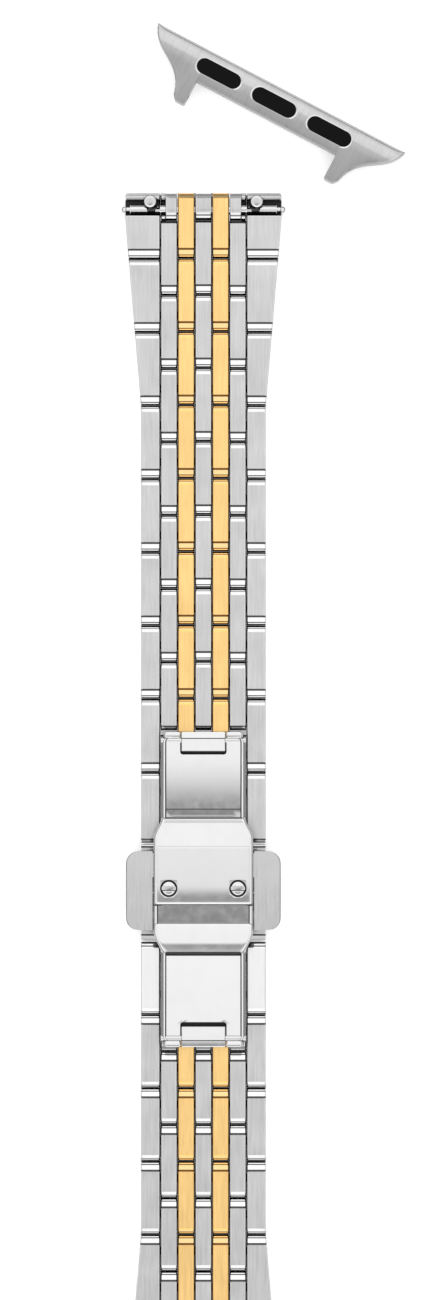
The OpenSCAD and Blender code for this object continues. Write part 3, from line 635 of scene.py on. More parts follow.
def column(middle):
    half_w = (COLUMN - COLUMN_GAP - SLIT) / 2
    return lambda y: (middle - half_w, middle + half_w)


def outer_column(half, side):
    inner = OUTER_IN + SLIT / 2
    return lambda y: (inner, side_x(half, y)) if side > 0 else (-side_x(half, y), -inner)


def inner_side(side):
    return ("left",) if side == "right" else ("right",)


def outer_link(half, n):
    node = f"{half}_outer_link_{n}"
    y0, y1 = outer_start(n), outer_start(n + 1)
    first, fixed, near, palette = y0, (), NEAR, STEEL
    if n == 1:
        first, fixed, near = y0 + FIRST_SHIFT[half], ("start",), NEAR_FIRST
        # Painted light: the lower half's first outer pieces get the lighter steel
        palette = LIT if half == "lower" else STEEL
    milled_to = milled_y(half) if y0 < milled_y(half) else None
    for side, sx in SIDES:
        link(f"{node}_steel_{side}", half, first, y1, (near, FAR), outer_column(half, sx), palette, node,
             inner_side(side), fixed=fixed)
        link(f"{node}_gold_{side}", half, y0, y1, (NEAR, FAR), column(sx * COLUMN), GOLD, node,
             milled_to=milled_to)
    for which, y in (("near", y0 + QUARTER), ("far", y0 + 3 * QUARTER)):
        pin(f"{node}_pin_{which}", node, half, y, side_x(half, y) - PIN_BACK)


def inner_link(half, n):
    node = f"{half}_inner_link_{n}"
    y0, y1 = inner_start(n), inner_start(n + 1)
    far = FAR
    if n == ROWS[half]:
        y1 += LAST_SHIFT
        far = FAR_LAST
    mill = milled_y(half)
    near, milled_to, fixed = NEAR, None, ()
    if y0 < mill < y0 + QUARTER:
        y0 = mill + 0.10
        near, fixed = NEAR_PLAIN, ("start",)
    elif y0 < mill:
        milled_to = mill
    for place, x in INNER_COLUMNS:
        link(f"{node}_{place}", half, y0, y1, (near, far), column(x), STEEL, node,
             milled_to=milled_to, fixed=fixed)


def centre_pieces(half):
    """Pieces fixed to a leaf: thin outer tabs under the pushers and milled inner pieces."""
    steel, gold = f"centre_steel_{half}", f"centre_gold_{half}"
    y1 = CENTRE_L + PITCH / 2
    options = {"milled_to": y1 + 1, "fixed": ("start",)}
    for place, x in INNER_COLUMNS:
        link(f"{steel}_{place}", half, 0.0, y1, (NEAR_CENTRE, FAR), column(x), STEEL, steel, **options)
    for side, sx in SIDES:
        link(f"{gold}_{side}", half, 0.0, CENTRE_L, (NEAR_CENTRE, FAR), column(sx * COLUMN), GOLD, gold,
             **options)
        end, white = TAB_END[half]
        x0, x1 = sorted((sx * (OUTER_IN - 0.3), sx * BODY_HALF))
        # A band before the tab's bright end is painted dark as the pusher's shadow
        rows = [
            (0.10, TAB_T - 0.10, "edge"), (0.16, TAB_T, "flat"), (end - 1.5, TAB_T, "flat"),
            (end - white - 0.20, TAB_T, "dark"), (end - white, TAB_T, "bevel"),
            (end - 0.06, TAB_T - 0.03, "edge"), (end, TAB_T - 0.22, "edge"),
        ]
        loft(f"{steel}_tab_{side}", [(y, x0, x1, 0.02, z, 0.10, kind) for y, z, kind in rows], STEEL, steel,
             half, (), ("line", "edge"))
    pin(f"{steel}_pin", steel, half, CENTRE_L - QUARTER, 2.5 * COLUMN - 0.35)


for half_name in ROWS:
    centre_pieces(half_name)
    for row in range(1, ROWS[half_name] + 1):
        outer_link(half_name, row)
        inner_link(half_name, row)


# Clasp, in the frame of the whole

PLATE_Z0, PLATE_Z1 = 2.92, 3.73
PLATE_HALF = 5.4
PLATE_END = 19.08
RAIL_Z1 = PLATE_Z1 - 0.03
# Ceiling of the room under the cover
ROOM_Z1 = 4.58
HINGE_Z, HINGE_R = 3.17, 0.95
LUG_IN, LUG_OUT = 2.92, 5.07
BRIDGE_HALF, BRIDGE_END = 6.27, 5.3
BRIDGE_Y1, LIP_Y0 = 9.13, -8.05
ROOM_Y0 = -5.56
RIM = 0.46
CREASE_Y, CREASE_Z = 5.51, 5.33
SCREW = (4.36, 0.19)
# The plate's floor by half: first points, slope in degrees, length that levels it off, further points
FLOORS = {
    "upper": (
        [(8.3, 3.73), (9.12, 3.73), (9.15, 3.43), (10.07, 3.54), (10.20, 3.20)], 6.0, 17.0,
        (0.4, 1.0, 1.7, 2.5, 3.3, 4.1, 5.0, 5.9, 6.8, 7.7, 8.6),
    ),
    "lower": (
        [(7.7, 3.60), (8.05, 3.52), (8.42, 3.14)], 3.4, 30.0,
        (0.3, 1.0, 2.0, 3.2, 4.4, 5.6, 6.8, 7.8, 8.6, 9.4, 10.5),
    ),
}
# Where the tongue's window starts and where the tongue starts, by half
WINDOW_Y = {"upper": 17.06, "lower": 16.80}
TONGUE_Y = {"upper": 17.45, "lower": 17.30}
LEAF_HALF, LEAF_Z0, LEAF_Z1 = 5.15, 2.22, 2.80
# Middle and half length of the notches for the pushers' claws, and how far out the leaf reaches there
NOTCH_Y, NOTCH_HALF, NOTCH_X = 2.7, 0.74, 4.38


def ease(t):
    t = min(1.0, max(0.0, t))
    return t * t * (3 - 2 * t)


def bridge_w(y):
    end = min(BRIDGE_Y1 - y, y - LIP_Y0)
    return BRIDGE_END + (BRIDGE_HALF - BRIDGE_END) * ease(end / 2.6)


def between(table, y):
    """A value from a table of (y, value), whose y rises."""
    if y <= table[0][0]:
        return table[0][1]
    for (ya, va), (yb, vb) in zip(table, table[1:]):
        if y <= yb:
            return va + (vb - va) * (y - ya) / (yb - ya)
    return table[-1][1]


def plate_section(w, floor, kind):
    """The clasp plate with its two rails, whose inner walls are painted as dark shade lines."""
    return [
        (0, PLATE_Z0, "flat"), (w - 0.12, PLATE_Z0, "edge"), (w, PLATE_Z0 + 0.12, "flat"),
        (w, RAIL_Z1 - 0.24, "edge"), (w - 0.33, RAIL_Z1 - 0.03, "edge"), (w - 0.38, RAIL_Z1, "flat"),
        (w - 0.56, RAIL_Z1, "line"), (w - 0.67, floor + 0.04, "line"),
        *[(x, floor, kind) for x in (w - 0.72, 3.7, 2.7, 1.8, 0.9, 0)],
    ]


def hood(w, top, bottom, side_bottom, kind, rim=RIM):
    """A section with rounded upper sides, open below outside the clasp plate. Its side wall and the foot of
    its rounding are painted as a dark shade line.
    """
    inner = min(w - 0.06, PLATE_HALF - 0.02)
    part = [
        (0, bottom, "flat"), (inner - 0.01, bottom, "flat"), (inner, side_bottom, "flat"),
        (w - 0.04, side_bottom, "line"), (w, side_bottom + 0.04, "line"),
    ]
    kinds = ["line", *["edge"] * 4, kind]
    part += [(w - rim * (1 - c), top - 0.62 * rim * (1 - s), one) for (c, s), one in zip(arc(5), kinds)]
    across = (5.45, 4.9, 4.36, 3.8, 3.25, 2.4, 1.6, 0.8, 0)
    return part + [(x * (w - rim) / (BRIDGE_HALF - RIM), top, kind) for x in across]


def clasp_plate(half):
    sign = SIGN[half]
    first, slope, level, further = FLOORS[half]
    y0, z0 = first[-1]
    floors = first + [(y0 + d, z0 + tan(radians(slope)) * d * (1 - d / level)) for d in further]
    ends = ((0.5, 0), (0.2, 0.05), (0.06, 0.16), (0, 0.3))
    widths = [(PLATE_END - d, PLATE_HALF - pull) for d, pull in ends]
    rings = []
    for y in [y for y, _ in floors if y < PLATE_END - 0.55] + [y for y, _ in widths]:
        # On the upper plate, the strip below the cover is painted grey as shade
        kind = "shade" if half == "upper" and 9.13 < y < 10.15 else "flat"
        # A painted dark shade line marks the last but one of the first points
        kind = "line" if y == first[-2][0] else kind
        foot = 0.12 * (1 - ease((y - 7.9) / 1.4)) if half == "upper" else 0.0
        rings.append((sign * y, plate_section(between(widths, y) - foot, between(floors, y), kind)))
    piece = sections(f"clasp_plate_{half}", rings, "clasp_frame", ("edge", "edge"))
    # The window for the tongue, open at the plate's end
    r, x, y0, y1 = 0.34, LUG_IN, WINDOW_Y[half], 20.5
    corner = [(x - r + r * c, sign * (y0 + r - r * s)) for c, s in arc(6)]
    outline = [(x, sign * y1), (-x, sign * y1), *[(-x, y) for x, y in corner], *corner[::-1]]
    carve(piece, [prism(piece, outline, 2.0, 6.0)], 0.09, 80)


def clasp_lug(half, side, sx):
    """A rolled lug beside the tongue."""
    sign = SIGN[half]
    y = HINGE_HALF
    profile = [
        (y + 0.30, 3.30), (y + 0.31, 3.84), (y + 0.36, 3.94), (y + 0.46, 3.98), (y + 0.92, 3.96),
        (y + 1.08, 3.91), (y + 1.14, 3.82), (y + 1.175, 3.66), (y + 1.18, 3.40),
    ]
    for c, s in arc(12, turn=radians(-170))[1:]:
        profile.append((y + (1.16 if c > 0 else HINGE_R) * c, HINGE_Z + HINGE_R * s))
    pillow(
        f"clasp_lug_{half}_{side}", profile[::-1], LUG_IN, LUG_OUT, 0.42, CHROME, "clasp_frame",
        lambda a, b, c: (sx * c, sign * a, b), low=0.12,
    )


def clasp_middle():
    node = "clasp_frame"
    slab("clasp_plate_middle", (-PLATE_HALF, PLATE_HALF), (-7.9, 8.5), (PLATE_Z0, PLATE_Z1), CHROME, node)
    # Window floor with its side rails; the floor is painted grey as shade and the rails' inner walls as dark
    # shade lines
    rings = []
    w = BRIDGE_HALF
    for y in (-1.98, -2.02, -2.8, -3.5, -4.25):
        floor = 4.80 + 0.09 * (y + 2.0)
        top = 4.90 if y == -1.98 else 5.0
        rings.append((y, [
            (0, 4.3, "flat"), (PLATE_HALF - 0.04, 4.3, "flat"), (PLATE_HALF - 0.02, ROOM_Z1, "flat"),
            (w - 0.04, ROOM_Z1, "line"), (w, ROOM_Z1 + 0.04, "line"), (w - 0.01, top - 0.2, "edge"),
            (w - 0.08, top - 0.09, "edge"), (w - 0.20, top - 0.02, "edge"), (w - 0.30, top, "edge"),
            (w - 0.42, top, "line"), (w - 0.52, floor + 0.03, "line"), (w - 0.56, floor, "shade"),
            (0, floor, "shade"),
        ]))
    sections("clasp_window", rings, node)
    # Lip, whose falling edge is painted as a dark shade line
    tops = [
        (-4.17, 4.68), (-4.22, 4.81), (-4.30, 4.89), (-4.42, 4.94), (-4.62, 4.96), (-5.55, 4.995),
        (-5.57, 4.995), (-6.3, 5.02), (-6.6, 5.03), (-6.85, 5.018), (-7.1, 4.997), (-7.35, 4.967),
        (-7.60, 4.935), (-7.80, 4.905), (-7.90, 4.82), (-7.97, 4.66), (-8.02, 4.4), (-8.045, 4.0),
        (LIP_Y0, 3.4),
    ]
    rings = []
    for y, top in tops:
        side = ROOM_Z1 if y > ROOM_Y0 else PLATE_Z0
        rim = RIM if y > -7.3 else RIM + 0.35 * (-7.3 - y)
        rings.append((y, hood(bridge_w(y), top, PLATE_Z0, side, "line" if y < -7.75 else "flat", rim)))
    sections("clasp_lip", rings, node)
    # Inside: bosses of the screws, wall of the springs and ribs
    boss = [(0.46, 3.6), (0.95, 3.6), (0.95, 4.53), (0.90, ROOM_Z1), (0.46, ROOM_Z1)]
    low, high = 3.6, 4.46
    for side, sx in SIDES:
        profile = [(r, z, "edge" if z == 4.53 else "flat") for r, z in boss]
        lathe(f"clasp_boss_{side}", profile, (sx * SCREW[0], SCREW[1], 0), node, closed=True)
        slab(f"clasp_rib_{side}", (sx, sx * 4.8), (4.77, 5.27), (low, high), CHROME, node)
    slab("clasp_stop", (-0.35, 0.35), (1.43, 4.77), (low, high), CHROME, node)


def clasp_cover():
    tops = [(BRIDGE_Y1, 4.50), (9.115, 4.60), (9.07, 4.69), (8.99, 4.76), (8.88, 4.81), (8.74, 4.845)]
    tops += [(y, CREASE_Z - 0.148 * (y - CREASE_Y)) for y in (8.45, 8.43, 8.0, 7.4, 6.9, 6.53, 6.0)]
    tops += [(CREASE_Y + 0.045, CREASE_Z - 0.006), (CREASE_Y - 0.045, CREASE_Z - 0.002)]
    tops += [(y, CREASE_Z - 0.035 * (CREASE_Y - y)) for y in (5.19, 5.17, 4.0, 2.5, 1.3, 0.5)]
    for y in (0.0, -0.5, -1.0, -1.19, -1.21, -1.45, -1.66):
        d = 0.5 - y
        tops.append((y, 5.1546 - 0.035 * d - 0.021 * d * d))
    tops += [(-1.76, 4.945), (-1.83, 4.90), (-1.88, 4.82), (-1.9, 4.72)]
    rings = []
    for y, top in tops:
        bottom = PLATE_Z1 + 0.01 if y > 8.44 or y < -1.20 else ROOM_Z1
        side = PLATE_Z1 + 0.01 if y > 8.44 else ROOM_Z1
        # The cover's upper end is painted dark and then grey as shade, and a narrow grey band paints the
        # crease's shade line
        kind = "line" if y > 9.0 else "shade" if y > 8.7 or 0 < y - CREASE_Y < 0.05 else "flat"
        rings.append((y, hood(bridge_w(y), top, bottom, side, kind)))
    piece = sections("clasp_cover", rings, "clasp_bridge")
    holes = [prism(piece, circle(sx * SCREW[0], SCREW[1], 1.10), 4.70, 6.0) for _, sx in SIDES]
    carve(piece, holes, 0.10)


def clasp_screws():
    profile = [
        (0.001, 2.94, "flat"), (0.43, 2.94, "flat"), (0.44, 4.72, "flat"), (0.86, 4.72, "line"),
        (0.90, 4.76, "line"), (0.90, 4.94, "edge"), (0.87, 5.02, "edge"), (0.79, 5.08, "edge"),
        (0.66, 5.105, "flat"), (0.35, 5.12, "flat"), (0.001, 5.125, "flat"),
    ]
    for side, sx in SIDES:
        x, y = sx * SCREW[0], SCREW[1]
        piece = lathe(f"bridge_screw_{side}", profile, (x, y, 0), "bridge_screws")
        # The slot, then its lower edge painted dark as shadow
        cuts = []
        for low, high, floor, kind in ((-0.23, 0.23, 4.93, "line"), (-0.30, -0.21, 4.90, "dark")):
            outline = [(x - 1.2, y + low), (x + 1.2, y + low), (x + 1.2, y + high), (x - 1.2, y + high)]
            cuts.append(prism(piece, outline, floor, 5.6, kind))
        carve(piece, cuts, 0.02, segments=2)
        # The slot's floor is painted grey as shade, and its walls stay painted as dark shade lines
        line, shade = FINISHES_AND_SHADES.index("line"), FINISHES_AND_SHADES.index("shade")
        for face in piece.data.polygons:
            if face.normal.z > 0.9 and face.center.z < 5.0 * MM and face.material_index == line:
                face.material_index = shade


def leaf(half):
    """A leaf with its tongue, its knuckle and the tab on the cross pin."""
    sign = SIGN[half]
    node = f"leaf_{half}"
    shift = sign * MEET_SHIFT
    y = HINGE_HALF
    y0, y1 = 0.24 - shift, y - HINGE_R - 0.5
    near, far = NOTCH_Y - shift - NOTCH_HALF, NOTCH_Y - shift + NOTCH_HALF
    rings = []
    # Under the tongue's window the plate's top is painted dark as shadow
    for along, w, d, kind in (
        (y0, LEAF_HALF, 0.06, "flat"), (y0 + 0.06, LEAF_HALF, 0, "flat"), (near - 0.01, LEAF_HALF, 0, "flat"),
        (near, NOTCH_X, 0, "flat"), (far, NOTCH_X, 0, "flat"), (far + 0.01, LEAF_HALF, 0, "flat"),
        (16.6, LEAF_HALF, 0, "dark"), (y1 - 0.06, LEAF_HALF, 0, "dark"), (y1, LEAF_HALF, 0.06, "dark"),
    ):
        w, low, high = w - d, LEAF_Z0 + d, LEAF_Z1 - d
        rings.append((sign * along, [
            (0, low, "flat"), (w - 0.06, low, "flat"), (w, low + 0.06, "edge"), (w, high - 0.06, "edge"),
            (w - 0.06, high, kind), (0, high, kind),
        ]))
    sections(f"{node}_plate", rings, node)
    # Tongue and knuckle in one side view
    start = TONGUE_Y[half]
    profile = [
        (start, 2.95), (start, 3.74), (start + 0.03, 3.81), (start + 0.10, 3.85), (y + 0.20, 3.86),
        (y + 0.26, 3.84), (y + 0.32, 3.89), (y + 0.92, 3.87), (y + 1.06, 3.825), (y + 1.12, 3.73),
        (y + 1.145, 3.55), (y + 1.145, 3.25),
    ]
    profile += [(y + 1.12 * c, HINGE_Z + HINGE_R * s) for c, s in arc(8, radians(-10), radians(-80))]
    profile += [(y - 0.4, LEAF_Z0), (y1 - 0.25, 2.24), (y1 - 0.25, 2.78), (start, LEAF_Z1)]
    middle_y, middle_z = sum(a for a, _ in profile) / len(profile), 3.0
    rings = [
        [
            (x, sign * (a + (d if a < middle_y else -d)), b - d if b > middle_z else b + d * 0.3)
            for a, b in profile
        ]
        for x, d in ((-2.8, 0.12), (-2.77, 0.05), (-2.70, 0.0), (2.70, 0.0), (2.77, 0.05), (2.8, 0.12))
    ]

    # The tongue's lower and front faces are painted dark as shadow, and the groove before the knuckle as a
    # dark shade line
    def finish(i, j):
        if profile[j][1] < 2.96 or profile[j][0] <= start + 0.001:
            return "dark"
        return "line" if j in (4, 5) else "flat" if i == 2 else "edge"

    skin(f"{node}_tongue", rings, finish, CHROME, node, ("edge", "edge"))
    # Web under the tongue, painted dark as shadow
    web_y = sign * (y1 - 0.25), sign * (y + 0.5)
    slab(f"{node}_web", (-2.88, 2.88), web_y, (2.26, 2.86), CHROME, node, "dark")
    # Tab that hangs on the cross pin
    tie, r = CENTRE_L - QUARTER - shift, 0.75
    profile = [(tie - r, 2.5), *[(tie + r * c, 1.3 + r * s) for c, s in arc(12, pi, pi)], (tie + r, 2.5)]
    pillow(f"{node}_tab", profile, -0.5, 0.5, 0.06, CHROME, node, lambda a, b, c: (c, sign * a, b))


def pusher(side, sx):
    """A rounded block with its tongue under the cover and its two claws."""
    node = f"pusher_{side}"
    y0, y1, x0, x1, r = -5.28, 4.97, 6.42, 9.76, 1.45
    lean = 0.20

    def reach(gap):
        """The outer side of the block at a distance from its end, which leans and has a rounded corner."""
        if gap < lean:
            return x0 + (x1 - r - x0) * gap / lean
        t = min(1.0, (gap - lean) / r)
        return x1 - r * (1 - (1 - (1 - t) ** 2) ** 0.5)

    gaps = [0, 0.04, 0.10, 0.16, 0.20, 0.23, 0.28, 0.36, 0.47, 0.6, 0.78, 1.0, 1.3, 1.65, 2.4, 3.4, 4.4]
    rings = []
    for y in [y0 + g for g in gaps] + [y1 - g for g in reversed(gaps)]:
        gap = min(y1 - y, y - y0)
        x = max(x0 + 0.35, reach(gap))
        d = y1 - y
        top = 4.44 - 0.0026 * d * d - max(0.0, 0.10 - gap)
        low = 1.34 + max(0.0, 0.10 - gap)
        rings.append([
            (sx * a, y, b) for a, b in (
                (x0, low), (x - 0.15, low), (x, low + 0.15), (x, top - 0.12), (x - 0.03, top - 0.05),
                (x - 0.10, top), ((x0 + x) / 2, top + 0.005), (x0, top),
            )
        ])
    # The block's upper outer edge is painted as a dark shade line, and its top near both ends too
    kinds = ["flat", "edge", "flat", "line", "line", "flat", "flat", "flat"]
    skin(
        f"{node}_block", rings,
        lambda i, j: "line" if j in (5, 6) and (i < 2 or i > len(rings) - 4) else kinds[j],
        PUSH, node, ("line", "line"),
    )
    slab(f"{node}_tongue", (sx * 2.6, sx * 6.7), (1.56, 4.64), (3.86, 4.45), PUSH, node)
    for place, y in (("upper", 2.13), ("lower", -3.27)):
        slab(f"{node}_claw_{place}", (sx * 5.45, sx * 6.7), (y - 0.5, y + 0.5), (2.23, 2.79), PUSH, node)
    coil(f"pusher_coil_{side}", f"pusher_spring_{side}", sx * 0.43, sx * 2.52,
         3.1, 4.155, 6, 0.25)


for half_name in ROWS:
    clasp_plate(half_name)
    leaf(half_name)
    for side_name, side_sign in SIDES:
        clasp_lug(half_name, side_name, side_sign)
clasp_middle()
clasp_cover()
clasp_screws()
for side_name, side_sign in SIDES:
    pusher(side_name, side_sign)


# End pieces, spring bars and adapters

TUBE_R, TUBE_IN, PLUNGER_R = 0.65, 0.50, 0.45
TUBE_HALF = 9.30
WINDOW_X, WINDOW_FLOOR = 4.80, 0.53
# Where a knob stands, from the middle and from the bar's axis
KNOB = (6.76, 0.98)
STEM_R, PULL = 0.21, 1.05
# The round bar at the tip: distance from the tip, lower and upper height
TIP_BAR = [
    (0.93, 0.12, 1.45), (0.90, 0.13, 1.66), (0.83, 0.15, 1.80), (0.72, 0.18, 1.90), (0.58, 0.24, 1.95),
    (0.44, 0.32, 1.94), (0.30, 0.42, 1.87), (0.18, 0.56, 1.75), (0.09, 0.74, 1.60), (0.03, 0.92, 1.44),
    (0.005, 1.05, 1.34),
]
HORN_L, HORN_W = 3.38, 1.65
HORN_SLANT = (0.5, 0.6)
HORN_EDGE = 0.12
LUG_HALF = 10.0
HORN_X = LUG_HALF + HORN_W + HORN_EDGE
# From the spring bar's axis to the adapter's edge
BAR_EDGE = 2.25
# Length and width of a pad, and from one pad to the next
PAD = (6.0, 1.95, 7.9)
PAD_GAP = 0.08
# Rise of the adapter's upper side, by share of its width
CROWN = ((0.12, 0.045), (0.3, 0.085), (0.45, 0.10), (0.62, 0.095), (0.8, 0.055), (1.0, 0.0))


def bar_axis(half):
    return tip_y(half) - TIP_R


def drill(piece, half):
    """The hole of the spring bar."""
    outline = circle(SIGN[half] * bar_axis(half) - MEET_SHIFT, LINK_T / 2, TUBE_R + 0.02, 28)
    carve(piece, [prism(piece, outline, -12, 12, place=lambda a, b, c: (c, a, b))])


def tip_bar(name, half, x_range, node, dark):
    """Floor of the window, painted dark as shadow, and the round bar at the tip, whose strip nearest the tip
    is painted grey as shade.
    """
    axis, tip = bar_axis(half), tip_y(half)
    rows = [(y, 0.10, WINDOW_FLOOR, "dark") for y in (axis - 0.90, axis + 1.16)]
    rows += [(tip - back, low, top, "flat" if back > 0.12 else "shade") for back, low, top in TIP_BAR]
    stations = []
    for y, low, top, kind in rows:
        x0, x1 = x_range(y)
        pull = 0.16 * max(0.0, 1 - (tip - y) / 0.3) ** 2
        stations.append((y, x0 + pull, x1 - pull, low, top, 0.16, kind))
    loft(name, stations, STEEL, node, half, dark)


def end_pieces(half):
    steel, gold = f"end_steel_{half}", f"end_gold_{half}"
    start, tip = outer_start(ROWS[half] + 1), tip_y(half)
    short = inner_start(ROWS[half] + 1) + LAST_SHIFT
    block_end = bar_axis(half) - 0.84
    fixed = ("end",)
    for side, sx in SIDES:
        span = outer_column(half, sx)
        link(f"{steel}_block_{side}", half, start, block_end + 0.5, (NEAR, BLOCK_END), span, STEEL, steel,
             inner_side(side), fixed=fixed)
        tip_bar(f"{steel}_tip_{side}", half, span, steel, inner_side(side))
        x0, x1 = column(sx * 2 * COLUMN)(0)
        # The column is whole up to the window's side and stepped beyond it
        kept = (x0, WINDOW_X) if sx > 0 else (-WINDOW_X, x1)
        beyond = (WINDOW_X - 0.02, x1) if sx > 0 else (x0, 0.02 - WINDOW_X)
        drill(link(f"{steel}_short_{side}", half, short, tip, (NEAR_SHORT, TIP), lambda y: kept, STEEL, steel,
                   (), fixed=fixed), half)
        whole = link_stations(half, short, tip, NEAR_SHORT, TIP, lambda y: beyond, fixed=fixed)
        rows = [row for row in whole if row[0] < block_end]
        rows.append((block_end, *rows[-1][1:4], rows[-1][4] + 0.02, rows[-1][5], "edge"))
        loft(f"{steel}_step_{side}", rows, STEEL, steel, half)
        tip_bar(f"{steel}_joint_{side}", half, lambda y: beyond, steel, BOTH)
        drill(link(f"{gold}_{side}", half, start, tip, (NEAR, TIP), column(sx * COLUMN), GOLD, gold,
                   fixed=fixed), half)
    drill(link(f"{steel}_middle", half, short, tip, (NEAR_SHORT, TIP), column(0), STEEL, steel,
               fixed=fixed), half)
    pin(f"{steel}_pin", steel, half, start + QUARTER, side_x(half, start + QUARTER) - PIN_BACK)


def spring_bar(half):
    sign = SIGN[half]
    y, z = sign * bar_axis(half) - MEET_SHIFT, LINK_T / 2
    node = f"spring_bar_tube_{half}"
    r, end = TUBE_R, TUBE_HALF
    # The tube's end faces and bore are painted as dark shade
    profile = [
        (TUBE_IN, -end, "line"), (r - 0.06, -end, "edge"), (r, 0.06 - end, "edge"), (r, end - 0.06, "edge"),
        (r - 0.06, end, "line"), (TUBE_IN, end, "line"),
    ]
    tube = lathe(node, profile, (0, y, z), node, closed=True, axis="x")
    # A notch for the knob and a slot for its stem
    stem_in, stem_out = KNOB[0] - STEM_R - PULL, KNOB[0] + STEM_R + 0.05
    cuts = []
    for _, sx in SIDES:
        for outline, low in (
            ([(5.78, 0.9), (7.50, 0.9), (7.02, -0.52), (6.20, -0.52)], z - 0.1),
            ([(stem_in, 0.0), (stem_out, 0.0), (stem_out, 0.9), (stem_in, 0.9)], z + 0.05),
        ):
            cuts.append(prism(tube, [(sx * a, y + sign * b) for a, b in outline], low, z + 2.0))
    carve(tube, cuts)
    r = PLUNGER_R
    # The plunger is painted as dark shade inside the tube and in its groove, and the stem as dark shade all
    # over
    rod = [
        (0.001, 5.90, "line"), (r - 0.04, 5.90, "line"), (r, 5.94, "line"), (r, 9.20, "edge"),
        (r, 9.78, "line"), (r, 9.86, "edge"), (r, 10.16, "edge"), (r - 0.05, 10.26, "edge"),
        (r - 0.16, 10.37, "edge"), (0.001, 10.40, "edge"),
    ]
    stem = [(r, h, "line") for r, h in ((0.001, 0.2), (STEM_R, 0.2), (STEM_R, 0.8), (0.001, 0.8))]
    # The knob's underside and skirt are painted as dark shade and its top grey as shade
    knob = [
        (0.001, 2.05, "line"), (0.72, 2.05, "line"), (0.80, 2.12, "line"), (0.80, 2.30, "line"),
        (0.74, 2.40, "edge"), (0.62, 2.46, "shade"), (0.40, 2.51, "shade"), (0.20, 2.535, "shade"),
        (0.001, 2.54, "shade"),
    ]
    for side, sx in SIDES:
        node = f"plunger_{side}_{half}"
        lathe(f"{node}_rod", [(r, sx * h, kind) for r, h, kind in rod], (0, y, z), node, axis="x")
        coil(f"spring_bar_coil_{side}_{half}", f"spring_bar_spring_{half}", sx * 0.1,
             sx * 5.78, y, z, 15, 0.34)
        lathe(f"{node}_stem", stem, (sx * KNOB[0], y + sign * 0.24, z), node)
        lathe(f"{node}_knob", knob, (sx * KNOB[0], y + sign * KNOB[1], 0), node)


def adapter_place(half):
    if half == "upper":
        x0, y0, turn = ADAPTERS[half]
        c, q = cos(radians(turn)), sin(radians(turn))
        mid = ADAPTER_D / 2
        return lambda x, y, z: (x0 + c * x - q * (y - mid), y0 + q * x + c * (y - mid), z)
    base = bar_axis(half) + BAR_EDGE
    return lambda x, y, z: (x, SIGN[half] * (base + y) - MEET_SHIFT, z)


def flank_table():
    """Inner edge of the adapter outside its horns, as (x, y) along a curve with four control points."""
    half_l = ADAPTER_L / 2
    xs = (half_l, half_l - 0.8, HORN_X + 0.95, HORN_X)
    ys = (ADAPTER_D, 0.9, 1.6, HORN_SLANT[1] - HORN_L)
    table = []
    for k in range(15):
        t = k / 14
        weights = ((1 - t) ** 3, 3 * t * (1 - t) ** 2, 3 * t * t * (1 - t), t ** 3)
        table.append(tuple(sum(w * v for w, v in zip(weights, values)) for values in (xs, ys)))
    return sorted(table)


def stadium(s, gap=0.0):
    """The outline of a pad or, with a gap, of its hole. s is its place: -1, 0 or 1."""
    r, flat = (PAD[1] + gap) / 2, (PAD[0] - PAD[1]) / 2
    half_circle = arc(12, -pi / 2, pi)
    return [
        (s * PAD[2] + turn * (flat + r * c), ADAPTER_D / 2 + turn * r * q)
        for turn in (1, -1) for c, q in half_circle
    ]


def flared(piece, outline, place):
    """A cutter for a pad's hole, painted dark inside as shadow, with a bright chamfer round its mouth."""
    wide = inset(outline, -0.20)
    levels = ((outline, 0.5), (outline, 2.50), (wide, 2.60), (wide, 4.0))
    points = [place(x, y, z) for one, z in levels for x, y in one]
    hole = cutter(piece, points, faces_over(len(levels), len(outline)))
    for face in hole.data.polygons:
        if 0.1 < abs(face.normal.z) < 0.99:
            face.material_index = FINISHES_AND_SHADES.index("bevel")
    return hole


